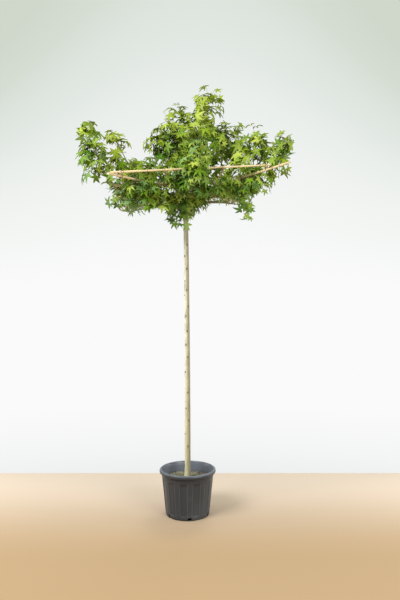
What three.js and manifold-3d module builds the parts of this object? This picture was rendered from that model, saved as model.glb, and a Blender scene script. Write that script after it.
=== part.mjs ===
// A sweetgum trained as a roof tree: a clean stem in a round nursery pot, a head of boughs spread over
// a square frame of bamboo canes, upright shoots above it and star-shaped leaves.
// Units are millimetres, +Z is up, and the origin is the centre of the pot's flat underside.
import * as THREE from "three";
import { mergeVertices } from "three/addons/utils/BufferGeometryUtils.js";
import Module from "manifold-3d";

const wasm = await Module();
wasm.setup();

// --------------------------------------------------------------------------------------------------------
// Driving dimensions
// --------------------------------------------------------------------------------------------------------

const GAP = 0.3; // clearance between solids that touch on the real tree
const FIRST_SEED = 61; // of the first mass's growth, and the step to the next mass's
const SEED_STEP = 17;
const SAMPLE_STEP = 12; // between the points where a twig or a leaf is tested for room
const GOLDEN_TURN = Math.PI * (3 - Math.sqrt(5));

const POT = {
  height: 400,
  rimRadius: 250,
  wallTopRadius: 228,
  footRadius: 190,
  wall: 4,
  floor: 8,
  lipDepth: 36,
  ribs: 12,
  ribWidth: THREE.MathUtils.degToRad(14),
  ribSlope: THREE.MathUtils.degToRad(1.5),
  ribRise: 3,
  ribFoot: 34,
  ribTop: 318,
  drains: 6,
  drainSlot: [60, 26, 15], // radial depth, width and height
  drainLift: 3, // of a slot's lower edge above the ground
  drainTurn: THREE.MathUtils.degToRad(7), // of the first slot
};

const SOIL = { level: 318, trunkPatch: 60, edgeDrop: 7 };

const TRUNK = {
  flareRadius: 32,
  baseRadius: 26.5,
  headRadius: 21,
  tipRadius: 11,
  flareHeight: 90,
  headHeight: 2660,
  tipHeight: 2950,
  lean: -17,
  sides: 12,
};

const FRAME = {
  height: 2897, // axis of the cross canes above the trunk
  turn: THREE.MathUtils.degToRad(6),
  tilt: THREE.MathUtils.degToRad(4.5),
  half: 570, // from the middle to the outer canes
  inner: 225, // from the middle to the two inner side canes
  innerCross: 190, // from the middle to the two inner cross canes
  overhang: 70, // what a straight cane sticks out past the outer ones
  diagonalOverhang: 170,
  crossEnds: [-652, 606], // where the cross canes are cut off
  diagonalEnds: [
    [-661, 690],
    [-713, 625],
  ],
  crossRadius: 8.5,
  sideRadius: 7.5,
  diagonalRadius: 9,
  taper: 0.78, // thin end over thick end
  sides: 8,
};

const BOUGH = { sides: 5, steps: 6, tipShare: 0.3 };

const TWIG = {
  radius: 3.2,
  tipShare: 0.55,
  sides: 3,
  stemSides: 4,
  stemSteps: 3,
  leaves: 3, // on each twig
  firstLeaf: 0.6, // share of the twig where its first leaf stands
  lastLeaf: 0.97,
  tries: 24, // attitudes tried before a leaf is left out
};

// A leaf's sizes, as shares of the length of its middle lobe apart from the first two.
const LEAF = {
  size: 100,
  thickness: 2, // half its thickness where the veins meet
  stalk: 0.34,
  spacing: 0.6, // least way between the middles of two leaves of a mass
  lobes: [
    { turn: THREE.MathUtils.degToRad(0), reach: 1 },
    { turn: THREE.MathUtils.degToRad(55), reach: 0.92 },
    { turn: THREE.MathUtils.degToRad(113), reach: 0.64 },
  ],
  sinusReach: 0.4,
  footReach: 0.1, // the notch between the stalk and the lowest lobe
};

// --------------------------------------------------------------------------------------------------------
// Small tools
// --------------------------------------------------------------------------------------------------------

const vector = (x, y, z) => new THREE.Vector3(x, y, z);
const mix = (a, b, share) => a + (b - a) * share;
const UP = vector(0, 0, 1);

// A repeatable stream of numbers from 0 to 1.
function seeded(seed) {
  let state = seed >>> 0;
  return () => {
    state = (state + 0x6d2b79f5) >>> 0;
    let t = state;
    t = Math.imul(t ^ (t >>> 15), t | 1);
    t ^= t + Math.imul(t ^ (t >>> 7), t | 61);
    return ((t ^ (t >>> 14)) >>> 0) / 4294967296;
  };
}

// A geometry as a manifold-3d solid, with the vertices that share a place merged.
function solidOf(geometry) {
  const bare = new THREE.BufferGeometry();
  bare.setAttribute("position", geometry.getAttribute("position"));
  if (geometry.index) bare.setIndex(geometry.index);
  const merged = mergeVertices(bare, 1e-3);
  return new wasm.Manifold(
    new wasm.Mesh({
      numProp: 3,
      vertProperties: new Float32Array(merged.attributes.position.array),
      triVerts: new Uint32Array(merged.index.array),
    }),
  );
}

// A manifold-3d solid as a geometry that three.js can draw.
function geometryOf(solid) {
  const mesh = solid.getMesh();
  const geometry = new THREE.BufferGeometry();
  geometry.setAttribute("position", new THREE.BufferAttribute(mesh.vertProperties, 3));
  geometry.setIndex(new THREE.BufferAttribute(mesh.triVerts, 1));
  return geometry.toNonIndexed();
}

function geometryFrom(points, triangles) {
  const geometry = new THREE.BufferGeometry();
  const flat = points.flatMap((p) => [p.x, p.y, p.z]);
  geometry.setAttribute("position", new THREE.Float32BufferAttribute(flat, 3));
  geometry.setIndex(triangles);
  return geometry;
}

// Joins rings of equally many points into a closed skin. Rings run anticlockwise seen from the last one.
function skinOf(rings) {
  const sides = rings[0].length;
  const points = rings.flat();
  const triangles = [];
  for (let row = 0; row + 1 < rings.length; row++)
    for (let side = 0; side < sides; side++) {
      const next = (side + 1) % sides;
      const a = row * sides + side;
      const b = row * sides + next;
      triangles.push(a, b, b + sides, a, b + sides, a + sides);
    }
  const last = points.length - sides;
  for (let side = 1; side + 1 < sides; side++) {
    triangles.push(0, side + 1, side);
    triangles.push(last, last + side, last + side + 1);
  }
  return geometryFrom(points, triangles);
}

// A path of points with a radius at each, as a closed round limb.
function limbGeometry(path, sides) {
  let normal = null;
  const rings = path.map(({ at, radius, tangent }, i) => {
    const before = path[Math.max(i - 1, 0)].at;
    const after = path[Math.min(i + 1, path.length - 1)].at;
    const along = tangent ?? after.clone().sub(before).normalize();
    normal ??= Math.abs(along.z) > 0.9 ? vector(1, 0, 0) : UP.clone();
    normal = normal.clone().addScaledVector(along, -normal.dot(along)).normalize();
    const across = along.clone().cross(normal);
    return Array.from({ length: sides }, (_, side) => {
      const turn = (2 * Math.PI * side) / sides;
      return at
        .clone()
        .addScaledVector(normal, radius * Math.cos(turn))
        .addScaledVector(across, radius * Math.sin(turn));
    });
  });
  return skinOf(rings);
}

// --------------------------------------------------------------------------------------------------------
// Pot and soil
// --------------------------------------------------------------------------------------------------------

// The turns of the wall's corners: each rib has two on its face and two at the foot of its slopes.
const POT_TURNS = Array.from({ length: 4 * POT.ribs }, (_, side) => {
  const pitch = (2 * Math.PI) / POT.ribs;
  const corners = [0, POT.ribWidth, POT.ribWidth + POT.ribSlope, pitch - POT.ribSlope];
  return pitch * Math.floor(side / 4) + corners[side % 4];
});
const onRib = (side) => (side % 4 < 2 ? POT.ribRise : 0);

// The wall's outer radius, without its ribs.
function potRadius(height) {
  return mix(POT.footRadius, POT.wallTopRadius, height / (POT.height - POT.lipDepth));
}

function ringAt(radius, height, raised = () => 0) {
  return POT_TURNS.map((turn, side) => {
    const r = radius + raised(side);
    return vector(r * Math.cos(turn), r * Math.sin(turn), height);
  });
}

function potGeometry() {
  const { height, rimRadius, wall, floor, lipDepth, ribFoot, ribTop } = POT;
  const lipFoot = height - lipDepth;
  const rings = [
    ringAt(potRadius(0) - 6, 0),
    ringAt(potRadius(10), 10),
    ringAt(potRadius(ribFoot), ribFoot),
    ringAt(potRadius(ribFoot + 6), ribFoot + 6, onRib),
    ringAt(potRadius(ribTop), ribTop, onRib),
    ringAt(potRadius(ribTop + 6), ribTop + 6),
    ringAt(potRadius(lipFoot), lipFoot),
    ringAt(rimRadius - 4, lipFoot + 3),
    ringAt(rimRadius, lipFoot + 12),
    ringAt(rimRadius, height - 8),
    ringAt(rimRadius - 7, height),
    ringAt(rimRadius - 19, height),
    ringAt(potRadius(lipFoot) - wall, lipFoot + 6),
    ringAt(potRadius(floor) - wall, floor),
  ];
  let pot = solidOf(skinOf(rings));
  for (let drain = 0; drain < POT.drains; drain++) {
    const slot = new THREE.BoxGeometry(...POT.drainSlot);
    slot.translate(potRadius(0) + POT.drainSlot[0] / 4, 0, POT.drainLift + POT.drainSlot[2] / 2);
    slot.rotateZ(POT.drainTurn + (2 * Math.PI * drain) / POT.drains);
    pot = pot.subtract(solidOf(slot));
  }
  return geometryOf(pot);
}

// The rooted soil that fills the pot: flat round the trunk and a little lower towards the wall.
function soilGeometry() {
  const { level, trunkPatch, edgeDrop } = SOIL;
  const inside = (height) => potRadius(height) - POT.wall - GAP;
  const foot = POT.floor + GAP;
  const edge = level - edgeDrop;
  return skinOf([
    ringAt(inside(foot) - 1, foot),
    ringAt(inside(edge) - 1, edge),
    ringAt(mix(trunkPatch, inside(edge), 0.5), level - edgeDrop / 3),
    ringAt(trunkPatch, level),
  ]);
}

// --------------------------------------------------------------------------------------------------------
// Trunk
// --------------------------------------------------------------------------------------------------------

// The trunk's axis: upright at the foot, leaning over a little towards its head.
function trunkPoint(height) {
  const share = (height - SOIL.level) / (TRUNK.headHeight - SOIL.level);
  return vector(TRUNK.lean * share * share, 0, height);
}

function trunkRadius(height) {
  const { flareRadius, baseRadius, headRadius, tipRadius, flareHeight, headHeight, tipHeight } = TRUNK;
  if (height > headHeight) {
    return mix(headRadius, tipRadius, (height - headHeight) / (tipHeight - headHeight));
  }
  const flare = Math.max(0, 1 - (height - SOIL.level) / flareHeight);
  const share = (height - SOIL.level) / (headHeight - SOIL.level);
  return mix(baseRadius, headRadius, share) + (flareRadius - baseRadius) * flare * flare;
}

function trunkPath() {
  const foot = SOIL.level + GAP;
  const { flareHeight, headHeight, tipHeight } = TRUNK;
  const heights = [foot, foot + flareHeight / 3, foot + flareHeight];
  for (let share = 0.2; share < 1; share += 0.2) heights.push(mix(foot, headHeight, share));
  heights.push(headHeight, (headHeight + tipHeight) / 2, tipHeight);
  return heights.map((height) => ({ at: trunkPoint(height), radius: trunkRadius(height) }));
}

// --------------------------------------------------------------------------------------------------------
// Frame of canes
// --------------------------------------------------------------------------------------------------------

// The frame's own axes: "across" runs along the cross canes, "back" along the side canes.
const ACROSS = vector(Math.cos(FRAME.turn), Math.sin(FRAME.turn), Math.tan(FRAME.tilt)).normalize();
const BACK = vector(-Math.sin(FRAME.turn), Math.cos(FRAME.turn), 0);
const FRAME_UP = ACROSS.clone().cross(BACK).normalize();

const CANE_REACH = FRAME.half + FRAME.overhang;
const DIAGONAL_REACH = FRAME.half + FRAME.diagonalOverhang / Math.SQRT2;

// A cane's radius at a place along it, thick at its first end.
const caneRadius = (radius, place, reach) => radius * mix(1, FRAME.taper, (place + reach) / (2 * reach));
const crossRadius = (across) => caneRadius(FRAME.crossRadius, across, CANE_REACH);
const sideRadius = (back) => caneRadius(FRAME.sideRadius, back, CANE_REACH);
const diagonalRadius = (place) => caneRadius(FRAME.diagonalRadius, place, DIAGONAL_REACH);

// How far a side cane lies below the cross canes' axes, and a diagonal below the side canes.
const sideDrop = (across, back) => crossRadius(across) + GAP + sideRadius(back);
const diagonalDrop = (across, place) =>
  sideDrop(across, place) + sideRadius(place) + GAP + diagonalRadius(place);

// The second diagonal sags below the first where they cross.
const DIAGONAL_SAG = 2 * diagonalRadius(0) + GAP;

// The diagonals cross beside the trunk and touch it, so the frame's centre stands off the trunk's axis.
const FRAME_CENTRE = (() => {
  const drop = diagonalDrop(0, 0) + DIAGONAL_SAG;
  const beside = trunkRadius(FRAME.height - drop) + diagonalRadius(0) + GAP;
  return trunkPoint(FRAME.height - drop)
    .add(vector(Math.cos(FRAME.turn), Math.sin(FRAME.turn), 0).multiplyScalar(beside * Math.SQRT2))
    .addScaledVector(FRAME_UP, drop);
})();

// A place in the frame: across, back and up from its centre.
function framePoint(across, back, up = 0) {
  return FRAME_CENTRE.clone()
    .addScaledVector(ACROSS, across)
    .addScaledVector(BACK, back)
    .addScaledVector(FRAME_UP, up);
}

const SIDE_PLACES = [-FRAME.half, -FRAME.inner, FRAME.inner, FRAME.half];
const CROSS_PLACES = [-FRAME.half, -FRAME.innerCross, FRAME.innerCross, FRAME.half];

// Where a diagonal bends, between its two ends.
const diagonalPlaces = (first, last) => [
  first,
  ...[-2 / 3, -1 / 3, 0, 1 / 3, 2 / 3].map((share) => share * DIAGONAL_REACH),
  last,
];

function canes() {
  const ends = [-CANE_REACH, CANE_REACH];
  const cross = CROSS_PLACES.map((back, i) => ({
    name: `cross_cane_${i + 1}`,
    path: FRAME.crossEnds.map((across) => ({ at: framePoint(across, back), radius: crossRadius(across) })),
  }));
  const side = SIDE_PLACES.map((across, i) => ({
    name: `side_cane_${i + 1}`,
    path: ends.map((back) => ({
      at: framePoint(across, back, -sideDrop(across, back)),
      radius: sideRadius(back),
    })),
  }));
  const diagonal = [1, -1].map((hand, i) => ({
    name: `diagonal_cane_${i + 1}`,
    path: diagonalPlaces(...FRAME.diagonalEnds[i]).map((place) => {
      const share = place / DIAGONAL_REACH;
      const drop = diagonalDrop(hand * place, place) + i * DIAGONAL_SAG * (1 - share * share);
      return { at: framePoint(hand * place, place, -drop), radius: diagonalRadius(place) };
    }),
  }));
  return [...cross, ...side, ...diagonal];
}

// --------------------------------------------------------------------------------------------------------
// Layout of the crown
// --------------------------------------------------------------------------------------------------------

// Each mass of foliage is an ellipsoid of its own, fed by one bough.
//   at, size   its middle and its half sizes
//   from       the height where its bough leaves the trunk
//   via        the places in the frame that its bough passes through: across, back and up
//   radius     the bough's radius at the trunk
//   droop      how steeply its leaves hang, from 0 to 1
//   twigs      how many twigs it grows
const ROOF = {
  corner: 430,
  side: 500,
  front: { lift: -62, size: [230, 230, 188] },
  rear: { lift: -60, size: [230, 230, 142] }, // shallower, because the head hangs lower at the front
  underway: -88,
  twigs: 9,
};

// The flat layer of foliage round the frame: four corners and the middles of four sides.
function roofMasses() {
  return Array.from({ length: 8 }, (_, i) => {
    const turn = (i * Math.PI) / 4;
    const onCorner = i % 2 === 1;
    const reach = onCorner ? ROOF.corner * Math.SQRT2 : ROOF.side;
    const [across, back] = [reach * Math.cos(turn), reach * Math.sin(turn)];
    const { lift, size } = back > 1 ? ROOF.rear : ROOF.front;
    return {
      name: `roof_foliage_${i + 1}`,
      at: framePoint(across, back, lift),
      size,
      from: onCorner ? 2680 : 2730,
      via: [[0.45 * across, 0.45 * back, ROOF.underway]],
      radius: 9,
      droop: 0.7,
      twigs: ROOF.twigs,
    };
  });
}

// The upright shoots over the middle: one tall leader with four lower shoots round it.
function spireMasses() {
  const shoots = [
    { at: [340, 20, 3300], size: [215, 200, 230], from: 2888 },
    { at: [-50, 200, 3455], size: [190, 190, 220], from: 2925 },
    { at: [-150, 10, 3270], size: [225, 210, 230], from: 2900 },
    { at: [90, -230, 3200], size: [225, 210, 240], from: 2908 },
  ];
  const around = shoots.map(({ at: [x, y, z], size, from }, i) => ({
    name: `spire_foliage_${i + 1}`,
    at: vector(x, y, z),
    size,
    from,
    via: [[0.5 * x, 0.5 * y, 130]],
    radius: 9,
    droop: 0.45,
    twigs: 10,
  }));
  const leader = {
    name: "leader_foliage",
    at: vector(170, 20, 3610),
    size: [170, 170, 215],
    from: TRUNK.tipHeight,
    via: [[70, 10, 300]],
    radius: TRUNK.tipRadius,
    droop: 0.3,
    twigs: 10,
  };
  return [...around, leader];
}

// Shoots that rise at the edges of the frame. Each bough runs below the canes and then up past them.
function edgeMasses() {
  const shared = { radius: 9, droop: 0.45 };
  return [
    {
      ...shared,
      name: "left_shoot_foliage",
      at: vector(-735, -440, 3090),
      size: [160, 170, 235],
      from: 2775,
      via: [[-370, -230, -100], [-640, -400, -60]],
      twigs: 11,
    },
    {
      ...shared,
      name: "left_inner_shoot_foliage",
      at: vector(-555, -290, 3150),
      size: [145, 140, 145],
      from: 2812,
      via: [[-310, -110, -85], [-440, -290, 0]],
      twigs: 7,
    },
    {
      ...shared,
      name: "right_inner_shoot_foliage",
      at: vector(590, -190, 3165),
      size: [180, 190, 190],
      from: 2818,
      via: [[300, -100, -80], [430, -270, 10]],
      twigs: 9,
    },
    {
      ...shared,
      name: "right_shoot_foliage",
      at: vector(775, -390, 3100),
      size: [155, 170, 170],
      from: 2792,
      via: [[350, -230, -100], [640, -400, -60]],
      twigs: 8,
    },
    {
      ...shared,
      name: "back_left_shoot_foliage",
      at: vector(-650, 430, 3050),
      size: [180, 180, 190],
      from: 2795,
      via: [[-320, 240, -100], [-640, 420, -60]],
      twigs: 8,
    },
    {
      ...shared,
      name: "back_right_shoot_foliage",
      at: vector(600, 480, 3110),
      size: [180, 180, 190],
      from: 2770,
      via: [[300, 200, -100], [640, 400, -60]],
      twigs: 8,
    },
  ];
}

// Foliage round the head of the trunk, grown straight from it.
function headMasses() {
  const shared = { radius: 6, droop: 0.85, onTrunk: true, via: [] };
  return [
    {
      ...shared,
      name: "head_foliage_front",
      at: vector(-85, -145, 2700),
      size: [170, 160, 190],
      from: 2640,
      twigs: 7,
    },
    {
      ...shared,
      name: "head_foliage_back",
      at: vector(10, 150, 2770),
      size: [190, 160, 150],
      from: 2645,
      twigs: 6,
    },
  ];
}

const MASSES = [...roofMasses(), ...spireMasses(), ...edgeMasses(), ...headMasses()];

// The half size of a mass along a direction.
function extentAlong({ size }, direction) {
  return 1 / Math.hypot(direction.x / size[0], direction.y / size[1], direction.z / size[2]);
}

// The planes that part a mass from all the others. Each divides the way to the other by their sizes.
function partingPlanes(mass) {
  return MASSES.filter((other) => other !== mass).map((other) => {
    const way = other.at.clone().sub(mass.at);
    const length = way.length();
    const normal = way.clone().normalize();
    const own = extentAlong(mass, normal);
    const share = own / (own + extentAlong(other, normal));
    return { normal, limit: share * length };
  });
}

MASSES.forEach((mass, i) => {
  mass.planes = partingPlanes(mass);
  mass.seed = FIRST_SEED + SEED_STEP * i;
});

// Whether a point lies in a mass's own space, with a margin to its neighbours'.
function isInside(mass, point, margin = 1) {
  const way = point.clone().sub(mass.at);
  const [x, y, z] = mass.size;
  if (Math.hypot(way.x / x, way.y / y, way.z / z) > 1) return false;
  return mass.planes.every(({ normal, limit }) => way.dot(normal) < limit - margin);
}

// --------------------------------------------------------------------------------------------------------
// Boughs
// --------------------------------------------------------------------------------------------------------

// One curve runs from the trunk through the middle of the mass: first the bough, then the stem.
function feedCurve(mass) {
  const start = trunkPoint(mass.from);
  const way = mass.via.map(([across, back, up]) => framePoint(across, back, up));
  const onward = mass.at.clone().sub(way.at(-1) ?? start).normalize();
  const end = mass.at.clone().addScaledVector(onward, 0.4 * extentAlong(mass, onward));
  return new THREE.CatmullRomCurve3([start, ...way, mass.at, end]);
}

function feedRadius(mass, share) {
  return mass.radius * mix(1, BOUGH.tipShare, share);
}

// The share of the curve where it enters the mass for good.
function entryOf(mass) {
  const samples = 200;
  let entry = 1;
  while (entry > 0 && isInside(mass, mass.curve.getPointAt(entry), 12)) entry -= 1 / samples;
  return entry + 1 / samples;
}

function stretchOf(mass, from, to, steps) {
  return Array.from({ length: steps + 1 }, (_, i) => {
    const share = mix(from, to, i / steps);
    return {
      at: mass.curve.getPointAt(share),
      radius: feedRadius(mass, share),
      tangent: mass.curve.getTangentAt(share),
    };
  });
}

for (const mass of MASSES) {
  mass.curve = feedCurve(mass);
  mass.entry = mass.onTrunk ? 0 : entryOf(mass);
  const clear = GAP / mass.curve.getLength();
  mass.bough = mass.onTrunk ? [] : stretchOf(mass, 0, mass.entry - clear, BOUGH.steps);
  mass.stem = stretchOf(mass, mass.entry, 1, TWIG.stemSteps);
}

// --------------------------------------------------------------------------------------------------------
// Twigs and leaves
// --------------------------------------------------------------------------------------------------------

// Everything woody that leaves and twigs keep clear of, as stretches between two points with a radius.
function stretchesOf(path, owner) {
  return path.slice(1).map((end, i) => {
    const radius = Math.max(path[i].radius, end.radius);
    const space = new THREE.Box3().setFromPoints([path[i].at, end.at]).expandByScalar(radius);
    return { line: new THREE.Line3(path[i].at, end.at), radius, space, owner };
  });
}

const CANES = canes();
const LIMBS = [
  ...stretchesOf(trunkPath(), "trunk"),
  ...CANES.flatMap(({ name, path }) => stretchesOf(path, name)),
  ...MASSES.flatMap((mass) => stretchesOf(mass.bough, mass.name)),
];

// Whether points keep a margin to every limb near them but their owner's.
function isClear(points, margin, owner) {
  const span = new THREE.Box3().setFromPoints(points).expandByScalar(margin);
  const nearest = new THREE.Vector3();
  const near = LIMBS.filter((limb) => limb.owner !== owner && limb.space.intersectsBox(span));
  return points.every((point) =>
    near.every(({ line, radius }) => {
      line.closestPointToPoint(point, true, nearest);
      return nearest.distanceTo(point) > radius + margin;
    }),
  );
}

// The leaf's outline in its own plane, from its foot round to its foot again: x along the midrib, y across.
const OUTLINE = (() => {
  const { size, stalk, lobes, sinusReach, footReach } = LEAF;
  const spot = (turn, reach) => new THREE.Vector2(stalk + reach * Math.cos(turn), reach * Math.sin(turn));
  const corners = lobes.map(({ turn, reach }) => spot(turn, reach));
  const sinuses = lobes.slice(1).map(({ turn }, i) => spot((turn + lobes[i].turn) / 2, sinusReach));
  const notch = spot((lobes.at(-1).turn + Math.PI) / 2, footReach);
  const half = corners.flatMap((corner, i) => [corner, sinuses[i] ?? notch]);
  half.forEach((point) => point.multiplyScalar(size));
  const mirrored = half.slice(1).map((p) => new THREE.Vector2(p.x, -p.y));
  return [...half.reverse(), ...mirrored, new THREE.Vector2(0, 0)];
})();

const BLADE_MIDDLE = LEAF.stalk * LEAF.size;

// A leaf at a foot, along a direction, facing a normal: its outline, then the vein meeting above and below.
function leafPoints(foot, along, normal) {
  const across = normal.clone().cross(along);
  const place = (x, y, z) =>
    foot.clone().addScaledVector(along, x).addScaledVector(across, y).addScaledVector(normal, z);
  const rim = OUTLINE.map((p) => place(p.x, p.y, 0));
  return [...rim, place(BLADE_MIDDLE, 0, LEAF.thickness), place(BLADE_MIDDLE, 0, -LEAF.thickness)];
}

function leafSolid(points) {
  const count = OUTLINE.length;
  const triangles = OUTLINE.flatMap((_, i) => {
    const next = (i + 1) % count;
    return [i, next, count + 1, next, i, count];
  });
  return solidOf(geometryFrom(points, triangles));
}

// Points spread evenly between two ends, both included, no further apart than a step.
function spotsBetween(from, to, step) {
  const count = Math.max(1, Math.ceil(from.distanceTo(to) / step));
  return Array.from({ length: count + 1 }, (_, i) => from.clone().lerp(to, i / count));
}

// Points spread over a leaf, close enough together that no limb passes between them.
function leafSamples(points) {
  const middle = points[OUTLINE.length];
  const rim = points.slice(0, OUTLINE.length);
  const edge = rim.flatMap((point, i) => spotsBetween(point, rim[(i + 1) % rim.length], SAMPLE_STEP));
  return edge.flatMap((point) => spotsBetween(middle, point, SAMPLE_STEP));
}

// A push of up to a size along each axis.
const wander = (chance, size) => vector(...[0, 1, 2].map(() => (2 * chance() - 1) * size));

// How a leaf hangs: onwards and outwards, turned by chance, and down by the mass's droop.
function leafAttitude(mass, foot, twigAlong, chance) {
  const outward = foot.clone().sub(mass.at).normalize();
  const along = twigAlong.clone().multiplyScalar(0.7).addScaledVector(outward, 0.6).add(wander(chance, 1));
  along.z -= mass.droop * (0.6 + chance());
  along.normalize();
  const face = outward.clone().multiplyScalar(1.2).addScaledVector(UP, 0.6).add(wander(chance, 0.5));
  const normal = face.addScaledVector(along, -face.dot(along)).normalize();
  return { along, normal };
}

// A twig leaves the stem behind the place nearest its tip, so that it runs onwards and out.
function twigPath(mass, tip) {
  const samples = 24;
  const places = Array.from({ length: samples + 1 }, (_, i) => mix(mass.entry, 1, i / samples));
  const ways = places.map((share) => mass.curve.getPointAt(share).distanceTo(tip));
  const nearest = ways.indexOf(Math.min(...ways));
  const back = (0.5 * ways[nearest]) / mass.curve.getLength();
  const share = Math.max(mix(mass.entry, 1, 0.15), places[nearest] - back);
  const root = mass.curve.getPointAt(share);
  return [
    { at: root, radius: Math.min(TWIG.radius, 0.8 * feedRadius(mass, share)) },
    { at: tip, radius: TWIG.radius * TWIG.tipShare },
  ];
}

// Tips spread evenly over the mass by the golden turn, a leaf's length inside its skin.
function twigTips(mass, chance) {
  return Array.from({ length: mass.twigs }, (_, i) => {
    const z = 1 - (2 * (i + 0.5)) / mass.twigs;
    const flat = Math.sqrt(1 - z * z);
    const turn = i * GOLDEN_TURN + mass.seed;
    const way = vector(flat * Math.cos(turn), flat * Math.sin(turn), z);
    const reach = extentAlong(mass, way.clone().multiply(vector(...mass.size)).normalize());
    const room = Math.max(0.35, 1 - (0.75 * LEAF.size) / reach);
    return way.multiply(vector(...mass.size)).multiplyScalar(room * (0.85 + 0.3 * chance())).add(mass.at);
  });
}

// The leaves of one twig that find room, each tried in several attitudes.
function leavesOn(mass, path, others, chance) {
  const along = path[1].at.clone().sub(path[0].at).normalize();
  const grown = [];
  for (let i = 0; i < TWIG.leaves; i++) {
    const share = mix(TWIG.firstLeaf, TWIG.lastLeaf, i / (TWIG.leaves - 1));
    const foot = path[0].at.clone().lerp(path[1].at, share);
    for (let attempt = 0; attempt < TWIG.tries; attempt++) {
      const { along: way, normal } = leafAttitude(mass, foot, along, chance);
      const points = leafPoints(foot, way, normal);
      const middle = points[OUTLINE.length];
      const apart = (other) => other.middle.distanceTo(middle) > LEAF.spacing * LEAF.size;
      if (![...others, ...grown].every(apart)) continue;
      if (!points.every((p) => isInside(mass, p)) || !isClear(leafSamples(points), 3)) continue;
      grown.push({ middle, solid: leafSolid(points) });
      break;
    }
  }
  return grown;
}

function foliageSolid(mass) {
  const chance = seeded(mass.seed);
  const leaves = [];
  const wood = [solidOf(limbGeometry(mass.stem, TWIG.stemSides))];
  for (const tip of twigTips(mass, chance)) {
    const path = twigPath(mass, tip);
    const spots = spotsBetween(path[0].at, path[1].at, SAMPLE_STEP);
    if (!spots.every((spot) => isInside(mass, spot, 6)) || !isClear(spots, 7, mass.name)) continue;
    const grown = leavesOn(mass, path, leaves, chance);
    if (grown.length) wood.push(solidOf(limbGeometry(path, TWIG.sides)));
    leaves.push(...grown);
  }
  return wasm.Manifold.union([...wood, ...leaves.map(({ solid }) => solid)]);
}

// --------------------------------------------------------------------------------------------------------
// The assembly
// --------------------------------------------------------------------------------------------------------

const FINISH = {
  pot: new THREE.MeshStandardMaterial({ color: 0x4b4c4f, roughness: 0.55, metalness: 0 }),
  soil: new THREE.MeshStandardMaterial({ color: 0x5a4636, roughness: 0.95, metalness: 0 }),
  bark: new THREE.MeshStandardMaterial({ color: 0xa79f7c, roughness: 0.8, metalness: 0 }),
  cane: new THREE.MeshStandardMaterial({ color: 0xd9b27c, roughness: 0.5, metalness: 0 }),
  leaf: new THREE.MeshStandardMaterial({ color: 0x4f8a24, roughness: 0.5, metalness: 0 }),
};

const tree = new THREE.Group();

function add(name, geometry, material) {
  const mesh = new THREE.Mesh(geometry, material);
  mesh.name = name;
  tree.add(mesh);
}

add("pot", potGeometry(), FINISH.pot);
add("soil", soilGeometry(), FINISH.soil);
add("trunk", limbGeometry(trunkPath(), TRUNK.sides), FINISH.bark);
for (const { name, path } of CANES) add(name, limbGeometry(path, FRAME.sides), FINISH.cane);

// The trunk a little larger, which each bough's foot is cut to.
const trunkSeat = (() => {
  const path = trunkPath().map(({ at, radius }) => ({ at, radius: radius + GAP }));
  path.at(-1).at.z += GAP;
  return solidOf(limbGeometry(path, TRUNK.sides));
})();

// What is left of a solid outside the trunk, as one piece.
function seated(solid) {
  const pieces = solid.subtract(trunkSeat).decompose();
  return geometryOf(pieces.sort((a, b) => b.volume() - a.volume())[0]);
}

for (const mass of MASSES) {
  const foliage = foliageSolid(mass);
  add(mass.name, mass.onTrunk ? seated(foliage) : geometryOf(foliage), FINISH.leaf);
  if (mass.onTrunk) continue;
  const bough = solidOf(limbGeometry(mass.bough, BOUGH.sides));
  add(mass.name.replace("foliage", "bough"), seated(bough), FINISH.bark);
}

export default tree;
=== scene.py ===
"""A sweetgum trained as a roof tree in a ribbed nursery pot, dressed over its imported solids.

The parts are built in the order in which they carry each other: pot, compost, trunk, boughs, cane frame,
ties, twigs and leaves. Sizes are metres in the row frame: +Z is up, -Y is the front, and the origin is the
centre of the pot's flat underside.
"""

from __future__ import annotations

import logging
import math
from dataclasses import dataclass, field
from enum import Enum

import bpy
import numpy as np
from bpy.types import Material, Node, NodeSocket, NodeTree, Object
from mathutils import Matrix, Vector


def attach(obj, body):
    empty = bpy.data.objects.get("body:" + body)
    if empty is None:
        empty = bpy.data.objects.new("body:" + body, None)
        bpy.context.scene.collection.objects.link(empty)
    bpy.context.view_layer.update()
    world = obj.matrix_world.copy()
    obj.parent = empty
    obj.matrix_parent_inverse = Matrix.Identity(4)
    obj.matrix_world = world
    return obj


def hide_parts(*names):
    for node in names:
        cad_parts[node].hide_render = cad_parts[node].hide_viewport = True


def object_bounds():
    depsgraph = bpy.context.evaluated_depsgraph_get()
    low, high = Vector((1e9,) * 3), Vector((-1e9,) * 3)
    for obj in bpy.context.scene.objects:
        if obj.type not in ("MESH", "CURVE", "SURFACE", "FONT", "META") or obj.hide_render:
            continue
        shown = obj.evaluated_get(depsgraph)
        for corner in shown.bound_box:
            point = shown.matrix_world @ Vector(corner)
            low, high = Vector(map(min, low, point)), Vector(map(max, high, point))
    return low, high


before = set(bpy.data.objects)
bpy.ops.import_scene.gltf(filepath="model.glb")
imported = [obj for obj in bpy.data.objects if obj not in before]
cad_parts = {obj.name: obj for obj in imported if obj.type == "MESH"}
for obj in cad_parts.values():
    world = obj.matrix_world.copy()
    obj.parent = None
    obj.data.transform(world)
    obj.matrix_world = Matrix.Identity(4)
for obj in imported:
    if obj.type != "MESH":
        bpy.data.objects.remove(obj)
CAD_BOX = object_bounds()

logging.basicConfig(level=logging.INFO, format="%(message)s")
LOG = logging.getLogger("sweetgum")

GOLDEN_TURN = math.pi * (3 - math.sqrt(5))
UP = np.array([0.0, 0.0, 1.0])
Values = np.ndarray | float
Place = tuple[float, float, float]
Leaves = dict[str, np.ndarray]


# ---- Meshes ----


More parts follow.
